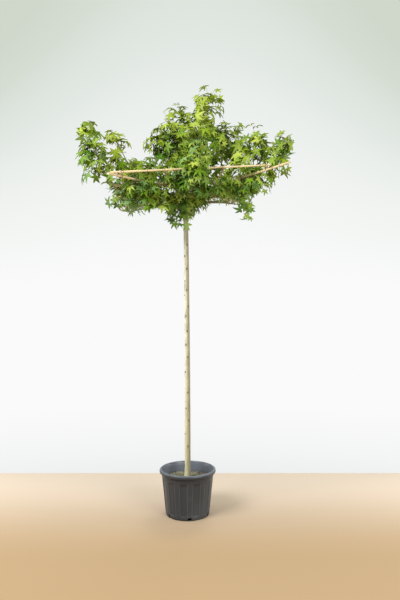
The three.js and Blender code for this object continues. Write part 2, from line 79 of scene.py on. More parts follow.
@dataclass
class Surface:
    """Points and faces of one or more closed skins, with optional values at the points.

    Attributes:
        points: The points, one row each.
        faces: Arrays of faces, each with the same number of corners in every row.
        values: Named numbers, one for each point.
        chart: Flat coordinates for each point, or None.
    """

    points: np.ndarray
    faces: list[np.ndarray]
    values: dict[str, np.ndarray] = field(default_factory=dict)
    chart: np.ndarray | None = None

    def triangles(self) -> int:
        """Returns how many triangles the faces split into."""
        return int(sum(len(rows) * (rows.shape[1] - 2) for rows in self.faces))


def joined(parts: list[Surface]) -> Surface:
    """Puts surfaces into one, keeping the values and charts that all of them have.

    Args:
        parts: The surfaces.

    Returns:
        One surface with all their points and faces.
    """
    starts = np.cumsum([0] + [len(part.points) for part in parts])
    faces = [rows + start for part, start in zip(parts, starts) for rows in part.faces]
    names = set.intersection(*(set(part.values) for part in parts))
    values = {name: np.concatenate([part.values[name] for part in parts]) for name in sorted(names)}
    charted = all(part.chart is not None for part in parts)
    chart = np.concatenate([part.chart for part in parts]) if charted else None
    return Surface(np.concatenate([part.points for part in parts]), faces, values, chart)


def wrapped(rows: int, columns: int) -> list[np.ndarray]:
    """Works out the faces of a grid of points that is wrapped round, with each row a closed ring.

    Args:
        rows: How many rings there are.
        columns: How many points each ring has.

    Returns:
        The quads between the rings, the first end and the last end.
    """
    index = np.arange(rows * columns).reshape(rows, columns)
    right = np.roll(index, -1, axis=1)
    quads = np.stack([index[:-1], right[:-1], right[1:], index[1:]], axis=-1).reshape(-1, 4)
    return [quads, index[0][None, ::-1], index[-1][None, :]]


def piece(
    name: str, surface: Surface, material: Material, nodes: list[str], smooth: bool = True
) -> Object:
    """Makes a surface a finished piece that rides on the plant and stands for its solids.

    Args:
        name: The piece's name.
        surface: Its mesh, already in place.
        material: Its finish.
        nodes: The solids that it stands for.
        smooth: Whether its faces are shaded smooth.

    Returns:
        The new object.
    """
    mesh = bpy.data.meshes.new(name)
    mesh.vertices.add(len(surface.points))
    mesh.vertices.foreach_set("co", surface.points.astype(np.float32).ravel())
    corners = np.concatenate([rows.ravel() for rows in surface.faces]).astype(np.int32)
    sizes = np.concatenate([np.full(len(rows), rows.shape[1]) for rows in surface.faces]).astype(np.int32)
    mesh.loops.add(len(corners))
    mesh.loops.foreach_set("vertex_index", corners)
    mesh.polygons.add(len(sizes))
    mesh.polygons.foreach_set("loop_start", np.concatenate([[0], np.cumsum(sizes)[:-1]]).astype(np.int32))
    mesh.polygons.foreach_set("loop_total", sizes)
    mesh.polygons.foreach_set("use_smooth", np.full(len(sizes), smooth))
    for key, numbers in surface.values.items():
        layer = mesh.attributes.new(key, "FLOAT", "POINT")
        layer.data.foreach_set("value", numbers.astype(np.float32))
    if surface.chart is not None:
        layer = mesh.uv_layers.new(name="chart")
        layer.data.foreach_set("uv", surface.chart[corners].astype(np.float32).ravel())
    mesh.update(calc_edges=True)
    mesh.validate()
    made = bpy.data.objects.new(name, mesh)
    bpy.context.scene.collection.objects.link(made)
    mesh.materials.append(material)
    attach(made, "root")
    if nodes:
        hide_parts(*nodes)
    LOG.info("%s: %d triangles", name, surface.triangles())
    return made


def bare(surface: Surface) -> Surface:
    """Returns bark without scars, moss or painted side shade."""
    surface.values |= {name: np.zeros(len(surface.points)) for name in ("scar", "mossy", "aged")}
    return surface


def lengths(vectors: np.ndarray) -> np.ndarray:
    """Returns the lengths of vectors along the last axis."""
    return np.linalg.norm(vectors, axis=-1)


def unit(vectors: np.ndarray) -> np.ndarray:
    """Returns vectors, along the last axis, at length one."""
    return vectors / np.maximum(lengths(vectors)[..., None], 1e-12)


def circle(turns: np.ndarray, radius: Values = 1.0) -> np.ndarray:
    """Returns the X and Y of places at angles and a radius."""
    return np.stack([radius * np.cos(turns), radius * np.sin(turns)], axis=-1)


def run_of(path: np.ndarray) -> np.ndarray:
    """Returns how far along a path each of its points lies."""
    return np.concatenate([[0], np.cumsum(lengths(np.diff(path, axis=0)))])


def between(places: np.ndarray, known: np.ndarray, rows: np.ndarray) -> np.ndarray:
    """Returns rows read off at places between the known ones."""
    return np.stack([np.interp(places, known, column) for column in rows.T], axis=-1)


def tubes(paths: np.ndarray, radii: np.ndarray, sides: int, reference: np.ndarray | None = None) -> Surface:
    """Carries a ring along each of many paths: point = path + radius (cos a * normal + sin a * across).

    The normal is a reference direction made square to the path. Both ends are closed by a flat face.

    Args:
        paths: Points of the paths, shaped (paths, steps, 3).
        radii: A radius for each path and step, or for each path, step and side.
        sides: How many sides the ring has.
        reference: A direction that no path runs along, or None to pick one for each path.

    Returns:
        The skins, with "along" from 0 to 1 and "place" random for each path, and charts of turn and metres.
    """
    count, steps, _ = paths.shape
    tangents = unit(np.gradient(paths, axis=1))
    if reference is None:
        mean = np.abs(unit(paths[:, -1] - paths[:, 0]))
        reference = np.eye(3)[np.argmin(mean, axis=1)][:, None, :]
    normal = unit(reference - tangents * np.sum(reference * tangents, axis=-1, keepdims=True))
    across = np.cross(tangents, normal)
    turn = np.arange(sides) * 2 * math.pi / sides
    radii = np.broadcast_to(radii[..., None] if radii.ndim == 2 else radii, (count, steps, sides))
    ring = normal[:, :, None, :] * np.cos(turn)[:, None] + across[:, :, None, :] * np.sin(turn)[:, None]
    points = paths[:, :, None, :] + ring * radii[..., None]
    index = np.arange(count * steps * sides).reshape(count, steps, sides)
    following = np.roll(index, -1, axis=2)
    skin = np.stack([index[:, :-1], following[:, :-1], following[:, 1:], index[:, 1:]], axis=-1)
    along = np.broadcast_to(np.linspace(0, 1, steps)[None, :, None], index.shape)
    place = np.broadcast_to(np.random.default_rng(count).random(count)[:, None, None], index.shape)
    length = np.cumsum(lengths(np.diff(paths, axis=1, prepend=paths[:, :1])), axis=1)
    chart = np.stack(np.broadcast_arrays(turn / (2 * math.pi), length[:, :, None]), axis=-1)
    return Surface(
        points.reshape(-1, 3),
        [skin.reshape(-1, 4), index[:, 0, ::-1], index[:, -1]],
        {"along": along.ravel(), "place": place.ravel()},
        chart.reshape(-1, 2),
    )


def lathe(profile: np.ndarray, turns: np.ndarray, push: Values = 0.0) -> Surface:
    """Turns a closed profile round the Z axis: point = ((r + push) cos a, (r + push) sin a, z).

    Args:
        profile: Radius and height of each row, the last joining the first.
        turns: The angles of the columns.
        push: What is added to the radius, shaped (rows, columns).

    Returns:
        A ring-shaped closed skin, whose first row runs anticlockwise up the outside.
    """
    rows, columns = len(profile), len(turns)
    radius = profile[:, :1] + push
    points = [radius * np.cos(turns), radius * np.sin(turns), profile[:, 1:]]
    index = np.arange(rows * columns).reshape(rows, columns)
    right, above = np.roll(index, -1, axis=1), np.roll(index, -1, axis=0)
    quads = np.stack([index, right, np.roll(above, -1, axis=1), above], axis=-1).reshape(-1, 4)
    return Surface(np.stack(np.broadcast_arrays(*points), axis=-1).reshape(-1, 3), [quads])


def ripple(points: np.ndarray, size: float, seed: int, layers: int = 3) -> np.ndarray:
    """Smooth repeatable relief: a sum of sine waves in seeded directions, halved in height as they get finer.

    Args:
        points: Places in any number of dimensions, one row each.
        size: Length of the coarsest wave.
        seed: Picks the directions and phases.
        layers: How many finer sets of waves are added.

    Returns:
        A number for each place, mostly between -1 and 1.
    """
    chance = np.random.default_rng(seed)
    total = np.zeros(points.shape[:-1])
    for layer in range(layers):
        ways = unit(chance.normal(size=(5, points.shape[-1])))
        phases = chance.random(5) * 2 * math.pi
        waves = np.sin(points @ ways.T * (2 * math.pi * 2**layer / size) + phases)
        total += waves.mean(axis=-1) / 2**layer
    return total


def smoothstep(low: float, high: float, values: np.ndarray) -> np.ndarray:
    """Returns 0 below low, 1 above high, and a smooth climb between."""
    share = np.clip((values - low) / (high - low), 0, 1)
    return share * share * (3 - 2 * share)


# ---- Finishes ----

Colour = tuple[float, float, float]


def feed(tree: NodeTree, socket: NodeSocket, value: object) -> None:
    """Feeds an input.

    Args:
        tree: The sheet that it is on.
        socket: The input.
        value: The socket that it is linked to, or a plain value.
    """
    if isinstance(value, NodeSocket):
        tree.links.new(value, socket)
    else:
        socket.default_value = value


def add(tree: NodeTree, kind: str, *given: object, **named: object) -> Node:
    """Adds a shader node and sets it up.

    Args:
        tree: Where it goes.
        kind: Its type, without the usual first word.
        given: Sockets or plain values for its first inputs, in their order.
        named: Its own settings by their small names, and sockets or plain values for inputs by their
            capital names, with underscores for spaces.

    Returns:
        The node.
    """
    node = tree.nodes.new(f"ShaderNode{kind}")
    for socket, value in zip(node.inputs, given):
        feed(tree, socket, value)
    for label, value in named.items():
        if label[0].islower():
            setattr(node, label, value)
        else:
            feed(tree, node.inputs[label.replace("_", " ")], value)
    return node


class Kit:
    """Shader node groups that several finishes share. Each is built once, when it is first asked for."""

    @staticmethod
    def _group(name: str, inputs: dict[str, float], output: str) -> tuple:
        """Starts a group with plain number sockets.

        Args:
            name: The group's name.
            inputs: Names and usual values of its inputs.
            output: Name of its output.

        Returns:
            The group, the sockets of what it is given, and the socket of what it puts out.
        """
        group = bpy.data.node_groups.new(name, "ShaderNodeTree")
        for label, value in inputs.items():
            socket = group.interface.new_socket(label, in_out="INPUT", socket_type="NodeSocketFloat")
            socket.default_value = value
        group.interface.new_socket(output, in_out="OUTPUT", socket_type="NodeSocketFloat")
        given, put = (group.nodes.new(f"NodeGroup{end}") for end in ("Input", "Output"))
        return group, given.outputs, put.inputs[output]

    @classmethod
    def mottle(cls) -> NodeTree:
        """Returns a group that puts out a soft cloudy mask from noise on Object coordinates."""
        if made := bpy.data.node_groups.get("cloudy_mottle"):
            return made
        group, given, put = cls._group("cloudy_mottle", {"Scale": 5.0, "Low": 0.4, "High": 0.6}, "Mask")
        place = add(group, "TexCoord").outputs["Object"]
        noise = add(group, "TexNoise", Vector=place, Scale=given["Scale"], Detail=6.0).outputs["Fac"]
        spread = add(group, "MapRange", noise, given["Low"], given["High"], interpolation_type="SMOOTHSTEP")
        feed(group, put, spread.outputs["Result"])
        return group

    @classmethod
    def grain(cls) -> NodeTree:
        """Returns a group that puts out drawn-out fibre grain: noise squeezed along one of the axes."""
        if made := bpy.data.node_groups.get("fibre_grain"):
            return made
        group, given, put = cls._group("fibre_grain", {"Scale": 60.0, "Stretch": 0.1}, "Height")
        place = add(group, "TexCoord").outputs["Object"]
        squeeze = add(group, "CombineXYZ", 1.0, 1.0, given["Stretch"]).outputs["Vector"]
        scaled = add(group, "VectorMath", place, squeeze, operation="MULTIPLY").outputs["Vector"]
        noise = add(group, "TexNoise", Vector=scaled, Scale=given["Scale"], Detail=4.0)
        feed(group, put, noise.outputs["Fac"])
        return group


class Sheet:
    """A material's node sheet, with short ways to add what the finishes need."""

    def __init__(self, name: str, roughness: float, specular: float = 0.5) -> None:
        """Starts a material with one Principled shader.

        Args:
            name: The material's name.
            roughness: The shader's roughness.
            specular: Its specular level.
        """
        self.material = bpy.data.materials.new(name)
        self.material.use_nodes = True
        self.tree = self.material.node_tree
        self.shader = self.tree.nodes["Principled BSDF"]
        self.shader.inputs["Roughness"].default_value = roughness
        self.shader.inputs["Specular IOR Level"].default_value = specular

    def mottle(self, scale: float, low: float, high: float) -> NodeSocket:
        """Returns the cloudy group's mask at a scale, climbing where its noise runs from low to high."""
        node = add(self.tree, "Group", node_tree=Kit.mottle(), Scale=scale, Low=low, High=high)
        return node.outputs["Mask"]

    def grain(self, scale: float, stretch: float) -> NodeSocket:
        """Returns the shared group's fibres for a scale and a stretch."""
        node = add(self.tree, "Group", node_tree=Kit.grain(), Scale=scale, Stretch=stretch)
        return node.outputs["Height"]

    def blend(self, mask: NodeSocket, low: object, high: object) -> NodeSocket:
        """Mixes two colours by a mask.

        Args:
            mask: Socket that runs from 0 to 1.
            low: Colour or socket where the mask is 0.
            high: Colour or socket where the mask is 1.

        Returns:
            The mixed colour's socket.
        """
        node = add(self.tree, "Mix", data_type="RGBA", Factor=mask)
        for side, name in ((low, "A"), (high, "B")):
            socket = next(s for s in node.inputs if s.name == name and s.type == "RGBA")
            feed(self.tree, socket, side if isinstance(side, NodeSocket) else (*side, 1.0))
        return next(s for s in node.outputs if s.type == "RGBA")

    def value(self, name: str) -> NodeSocket:
        """Returns the socket of one of the piece's own values."""
        return add(self.tree, "Attribute", attribute_name=name).outputs["Fac"]

    def charted(self, scale: Place) -> NodeSocket:
        """Returns the socket of the piece's own chart, scaled."""
        chart = add(self.tree, "UVMap", uv_map="chart").outputs["UV"]
        return add(self.tree, "Mapping", Vector=chart, Scale=scale).outputs["Vector"]

    def step(
        self, source: NodeSocket, low: float, high: float, most: float = 1.0, least: float = 0.0
    ) -> NodeSocket:
        """Returns a smooth step of a socket from low to high, climbing from least to most."""
        ends = (low, high, least, most)
        return add(self.tree, "MapRange", source, *ends, interpolation_type="SMOOTHSTEP").outputs["Result"]

    def bump(self, height: NodeSocket, depth: float, strength: float = 1.0) -> None:
        """Adds a bump to the shader, on top of any that it has.

        Args:
            height: Socket of the relief.
            depth: How deep a relief of one is, in metres.
            strength: Share of the bump that shows.
        """
        node = add(self.tree, "Bump", Distance=depth, Strength=strength, Height=height)
        normal = self.shader.inputs["Normal"]
        if normal.is_linked:
            feed(self.tree, node.inputs["Normal"], normal.links[0].from_socket)
        feed(self.tree, normal, node.outputs["Normal"])

    def colour(self, socket: NodeSocket) -> None:
        """Sets what the shader takes its base colour from."""
        feed(self.tree, self.shader.inputs["Base Color"], socket)


@dataclass(frozen=True)
class LeafFinish:
    """One tone of leaf: satin above, paler and duller below, with light veins."""

    name: str
    upper: Colour
    fresh: Colour
    vein: Colour
    under: Colour

    def make(self) -> Material:
        """Returns the material."""
        sheet = Sheet(self.name, 0.38, 0.14)
        cloud = sheet.mottle(7.0, 0.35, 0.65)
        face = sheet.blend(sheet.value("tone"), self.upper, self.fresh)
        dimmed = tuple(0.72 * c for c in self.upper)
        face = sheet.blend(sheet.step(cloud, 0.0, 1.0, 0.45), face, dimmed)
        face = sheet.blend(sheet.step(sheet.value("vein"), 0.86, 0.97, 0.55), face, self.vein)
        behind = add(sheet.tree, "NewGeometry").outputs["Backfacing"]
        sheet.colour(sheet.blend(behind, face, self.under))
        sheet.bump(sheet.value("vein"), 0.0012, 0.6)
        return sheet.material


@dataclass(frozen=True)
class BarkFinish:
    """Young bark: buff, olive where "mossy", brown where painted shade lies on its shaded side, with fine
    fibres, dark scars and pores.
    """

    name: str
    light: Colour
    dark: Colour
    scar: Colour
    olive: Colour
    roughness: float = 0.72

    def make(self) -> Material:
        """Returns the material."""
        sheet = Sheet(self.name, self.roughness, 0.3)
        patches = sheet.mottle(9.0, 0.45, 0.85)
        fine = sheet.grain(130.0, 0.22)
        pores = sheet.mottle(95.0, 0.62, 0.72)
        colour = sheet.blend(patches, self.light, self.dark)
        colour = sheet.blend(sheet.step(fine, 0.35, 0.7, 0.55), colour, tuple(0.62 * c for c in self.light))
        colour = sheet.blend(sheet.step(pores, 0.0, 1.0, 0.5), colour, self.light)
        colour = sheet.blend(sheet.step(sheet.value("mossy"), 0.0, 1.0, 0.8), colour, self.olive)
        # Painted shade: darker brown on the trunk's shaded side.
        colour = sheet.blend(sheet.value("aged"), colour, self.dark)
        sheet.colour(sheet.blend(sheet.value("scar"), colour, self.scar))
        sheet.bump(fine, 0.0012)
        sheet.bump(pores, 0.0008)
        return sheet.material


@dataclass(frozen=True)
class CaneFinish:
    """Dry bamboo: honey skin with long fibres, browner joints and pale hollow ends."""

    name: str
    skin: Colour
    fibre: Colour
    joint: Colour
    cut: Colour

    def make(self) -> Material:
        """Returns the material."""
        sheet = Sheet(self.name, 0.48, 0.45)
        tone = sheet.mottle(6.0, 0.35, 0.7)
        along = sheet.charted((26.0, 9.0, 1.0))
        streak = add(sheet.tree, "TexNoise", Vector=along, Scale=1.0).outputs["Fac"]
        colour = sheet.blend(tone, self.skin, tuple(0.78 * c for c in self.skin))
        colour = sheet.blend(sheet.step(streak, 0.4, 0.7, 0.5), colour, self.fibre)
        colour = sheet.blend(sheet.value("joint"), colour, self.joint)
        sheet.colour(sheet.blend(sheet.value("cut"), colour, self.cut))
        sheet.bump(streak, 0.0005, 0.6)
        return sheet.material


@dataclass(frozen=True)
class PotFinish:
    """Moulded plastic: charcoal with "dust" low, painted light on the rim, the ribs' edges and the upper
    inside, and painted shade under the lip, in the recesses, at the slots and low inside.
    """

    name: str
    plastic: Colour
    scuff: Colour
    dust: Colour
    # The last two colours are painted light (a lighter blue-grey) and painted shade (near black).
    faded: Colour
    grime: Colour

    def make(self) -> Material:
        """Returns the material."""
        sheet = Sheet(self.name, 0.4, 0.5)
        cloud = sheet.mottle(4.0, 0.4, 0.75)
        scuffs = sheet.grain(30.0, 0.25)
        patch = sheet.mottle(14.0, 0.3, 0.7)
        colour = sheet.blend(sheet.step(cloud, 0.0, 1.0, 0.5), self.plastic, self.scuff)
        colour = sheet.blend(sheet.step(scuffs, 0.56, 0.75, 0.35), colour, self.scuff)
        dirt = add(sheet.tree, "Math", sheet.value("dust"), patch, operation="MULTIPLY").outputs["Value"]
        colour = sheet.blend(dirt, colour, self.dust)
        # Painted light, then painted shade, laid over the plastic.
        colour = sheet.blend(sheet.value("faded"), colour, self.faded)
        sheet.colour(sheet.blend(sheet.value("grime"), colour, self.grime))
        feed(sheet.tree, sheet.shader.inputs["Roughness"], sheet.step(cloud, 0.0, 1.0, 0.5, 0.34))
        sheet.bump(sheet.mottle(420.0, 0.3, 0.7), 0.00025, 0.5)
        return sheet.material


@dataclass(frozen=True)
class EarthFinish:
    """Moist compost: dark crumbs with paler fibre and grit, and moss in patches."""

    name: str
    crumb: Colour
    fibre: Colour
    grit: Colour
    moss: Colour

    def make(self) -> Material:
        """Returns the material."""
        sheet = Sheet(self.name, 0.92, 0.2)
        coarse = sheet.mottle(38.0, 0.38, 0.62)
        fine = sheet.mottle(160.0, 0.55, 0.68)
        mossy = sheet.mottle(11.0, 0.45, 0.6)
        colour = sheet.blend(coarse, self.crumb, self.fibre)
        colour = sheet.blend(sheet.step(fine, 0.0, 1.0, 0.7), colour, self.grit)
        sheet.colour(sheet.blend(sheet.step(mossy, 0.0, 1.0, 0.75), colour, self.moss))
        sheet.bump(coarse, 0.004)
        sheet.bump(fine, 0.0012)
        return sheet.material


@dataclass(frozen=True)
class TwineFinish:
    """Jute twine: brown with a slanting twist that follows its length."""

    name: str
    light: Colour
    dark: Colour

    def make(self) -> Material:
        """Returns the material."""
        sheet = Sheet(self.name, 0.85, 0.2)
        along = sheet.charted((2.0, 420.0, 1.0))
        twist = add(sheet.tree, "TexWave", bands_direction="DIAGONAL", Vector=along, Scale=1.0).outputs["Fac"]
        sheet.colour(sheet.blend(twist, self.dark, self.light))
        sheet.bump(twist, 0.0005)
        return sheet.material


class LeafTone(Enum):
    """The tones of leaf that the sprays are dealt from, youngest first."""

    YOUNG = LeafFinish(
        "leaf_young", (0.20, 0.285, 0.005), (0.45, 0.52, 0.09), (0.58, 0.63, 0.20), (0.34, 0.42, 0.04)
    )
    FRESH = LeafFinish(
        "leaf_fresh", (0.15, 0.24, 0.003), (0.40, 0.48, 0.075), (0.53, 0.59, 0.17), (0.29, 0.375, 0.035)
    )
    GREEN = LeafFinish(
        "leaf_green", (0.10, 0.205, 0.003), (0.33, 0.425, 0.065), (0.45, 0.53, 0.15), (0.25, 0.335, 0.035)
    )
    DEEP = LeafFinish(
        "leaf_deep", (0.052, 0.145, 0.002), (0.17, 0.29, 0.035), (0.32, 0.42, 0.13), (0.17, 0.26, 0.04)
    )
    COOL = LeafFinish(
        "leaf_cool", (0.065, 0.155, 0.018), (0.20, 0.32, 0.09), (0.34, 0.45, 0.17), (0.20, 0.29, 0.07)
    )


# ---- Studio ----


@dataclass
class Studio:
    """The camera, the pale floor and the soft lights.

    The picture is shifted up by rise, a share of its long side, along which the sensor is measured. floor_box
    holds the floor's left, front, right and back edges. Its colour turns from a darker near colour, painted
    shade towards the front, to floor_far, and the sky's strength from sky_behind to 1 ahead, over the spans
    along Y in their fades. The sky's colours go by how steeply it is looked at, and sky_corner steepens its
    upper corners.
    Each lamp has a name, a place, an aim, a side and watts.
    """

    stand: Place = (0.11, -4.44, 1.71)
    rise: float = 0.035
    lens_mm: float = 29.88
    sensor_mm: float = 36.0
    floor_box: tuple[float, float, float, float] = (-9.0, -9.0, 9.0, 1.16)
    floor_far: Colour = (0.60, 0.49, 0.395)
    # Painted shade: the floor's colour darkens towards the front.
    floor_shaded_near: Colour = (0.395, 0.268, 0.149)
    floor_fade: tuple[float, float] = (-0.95, 0.95)
    sky: tuple[tuple[float, Colour], ...] = (
        (-0.29, (0.85, 0.86, 0.86)),
        (-0.25, (0.90, 0.91, 0.905)),
        (-0.17, (0.955, 0.955, 0.955)),
        (0.10, (0.955, 0.955, 0.955)),
        (0.22, (0.91, 0.925, 0.915)),
        (0.34, (0.868, 0.89, 0.872)),
        (0.42, (0.825, 0.86, 0.832)),
        (0.48, (0.765, 0.81, 0.77)),
        (0.54, (0.73, 0.78, 0.73)),
        (0.60, (0.67, 0.725, 0.655)),
        (0.68, (0.63, 0.68, 0.60)),
    )
    sky_corner: float = 4.5
    sky_behind: float = 0.5
    sky_fade: tuple[float, float] = (-0.6, 0.3)
    lamps: tuple[tuple, ...] = (
        ("key_softbox", (-3.2, -3.0, 4.8), (0, 0, 2.3), 2.6, 330),
        ("fill_softbox", (3.2, -3.9, 2.7), (0, 0, 2.7), 2.6, 185),
        ("rim_softbox", (1.2, 3.4, 5.4), (0, 0, 3.2), 2.4, 90),
        ("left_strip", (-3.4, 0.3, 1.3), (0, 0, 0.5), 1.2, 24),
        ("right_strip", (3.4, 0.3, 1.3), (0, 0, 0.5), 1.2, 26),
    )

    def build(self) -> None:
        """Sets up camera, floor, sky and lights."""
        self._camera()
        self._floor()
        self._sky()
        for lamp in self.lamps:
            self._lamp(*lamp)

    def _camera(self) -> None:
        """Places the camera, level and facing +Y."""
        data = bpy.data.cameras.new("camera")
        data.sensor_fit = "AUTO"
        data.sensor_width = self.sensor_mm
        data.lens = self.lens_mm
        data.shift_y = self.rise
        camera = bpy.data.objects.new("camera", data)
        camera.location = self.stand
        camera.rotation_euler = (math.radians(90), 0, 0)
        bpy.context.scene.collection.objects.link(camera)
        bpy.context.scene.camera = camera

    def _floor(self) -> None:
        """Lays a plain pale floor with painted shade that deepens it a little towards the front."""
        left, front, right, back = self.floor_box
        mesh = bpy.data.meshes.new("floor")
        corners = [(left, front, 0), (right, front, 0), (right, back, 0), (left, back, 0)]
        mesh.from_pydata(corners, [], [(0, 1, 2, 3)])
        sheet = Sheet("pale_floor", 0.8, 0.2)
        parts = add(sheet.tree, "SeparateXYZ", add(sheet.tree, "TexCoord").outputs["Object"]).outputs
        # Painted shade: darker towards the front.
        sheet.colour(sheet.blend(sheet.step(parts["Y"], *self.floor_fade), self.floor_shaded_near, self.floor_far))
        mesh.materials.append(sheet.material)
        floor = bpy.data.objects.new("floor", mesh)
        bpy.context.scene.collection.objects.link(floor)

    def _sky(self) -> None:
        """Lights everything from a pale sky, brightest at the level and dimmer high up and at its corners.

        The place in the ramp is steepness + corner * sideways squared * steepness above the level.
        """
        world = bpy.data.worlds.new("pale_sky")
        world.use_nodes = True
        tree = world.node_tree
        parts = add(tree, "SeparateXYZ", add(tree, "TexCoord").outputs["Generated"]).outputs
        square = add(tree, "Math", parts["X"], parts["X"], operation="MULTIPLY").outputs["Value"]
        above = add(tree, "Math", parts["Z"], 0.0, operation="MAXIMUM").outputs["Value"]
        corner = add(tree, "Math", square, above, operation="MULTIPLY").outputs["Value"]
        steep = add(tree, "Math", corner, self.sky_corner, parts["Z"], operation="MULTIPLY_ADD")
        low, high = self.sky[0][0], self.sky[-1][0]
        share = add(tree, "MapRange", steep.outputs["Value"], low, high).outputs["Result"]
        ramp = add(tree, "ValToRGB", share)
        stops = ramp.color_ramp.elements
        for number, (at, colour) in enumerate(self.sky):
            stop = stops[number] if number < 2 else stops.new(1.0)
            stop.position = (at - low) / (high - low)
            stop.color = (*colour, 1)
        strength = add(tree, "MapRange", parts["Y"], *self.sky_fade, self.sky_behind).outputs["Result"]
        feed(tree, tree.nodes["Background"].inputs["Strength"], strength)
        feed(tree, tree.nodes["Background"].inputs["Color"], ramp.outputs["Color"])
        bpy.context.scene.world = world
        bpy.context.scene.view_settings.view_transform = "Standard"

    @staticmethod
    def _lamp(name: str, place: tuple, aim: tuple, size: float, watts: float) -> None:
        """Hangs one square softbox.

        Args:
            name: Its name.
            place: Where it hangs.
            aim: What it faces.
            size: Its side.
            watts: Its power.
        """
        data = bpy.data.lights.new(name, "AREA")
        data.size = size
        data.energy = watts
        lamp = bpy.data.objects.new(name, data)
        lamp.location = place
        lamp.rotation_euler = (Vector(aim) - Vector(place)).to_track_quat("-Z", "Y").to_euler()
        bpy.context.scene.collection.objects.link(lamp)


# ---- Pot and compost ----


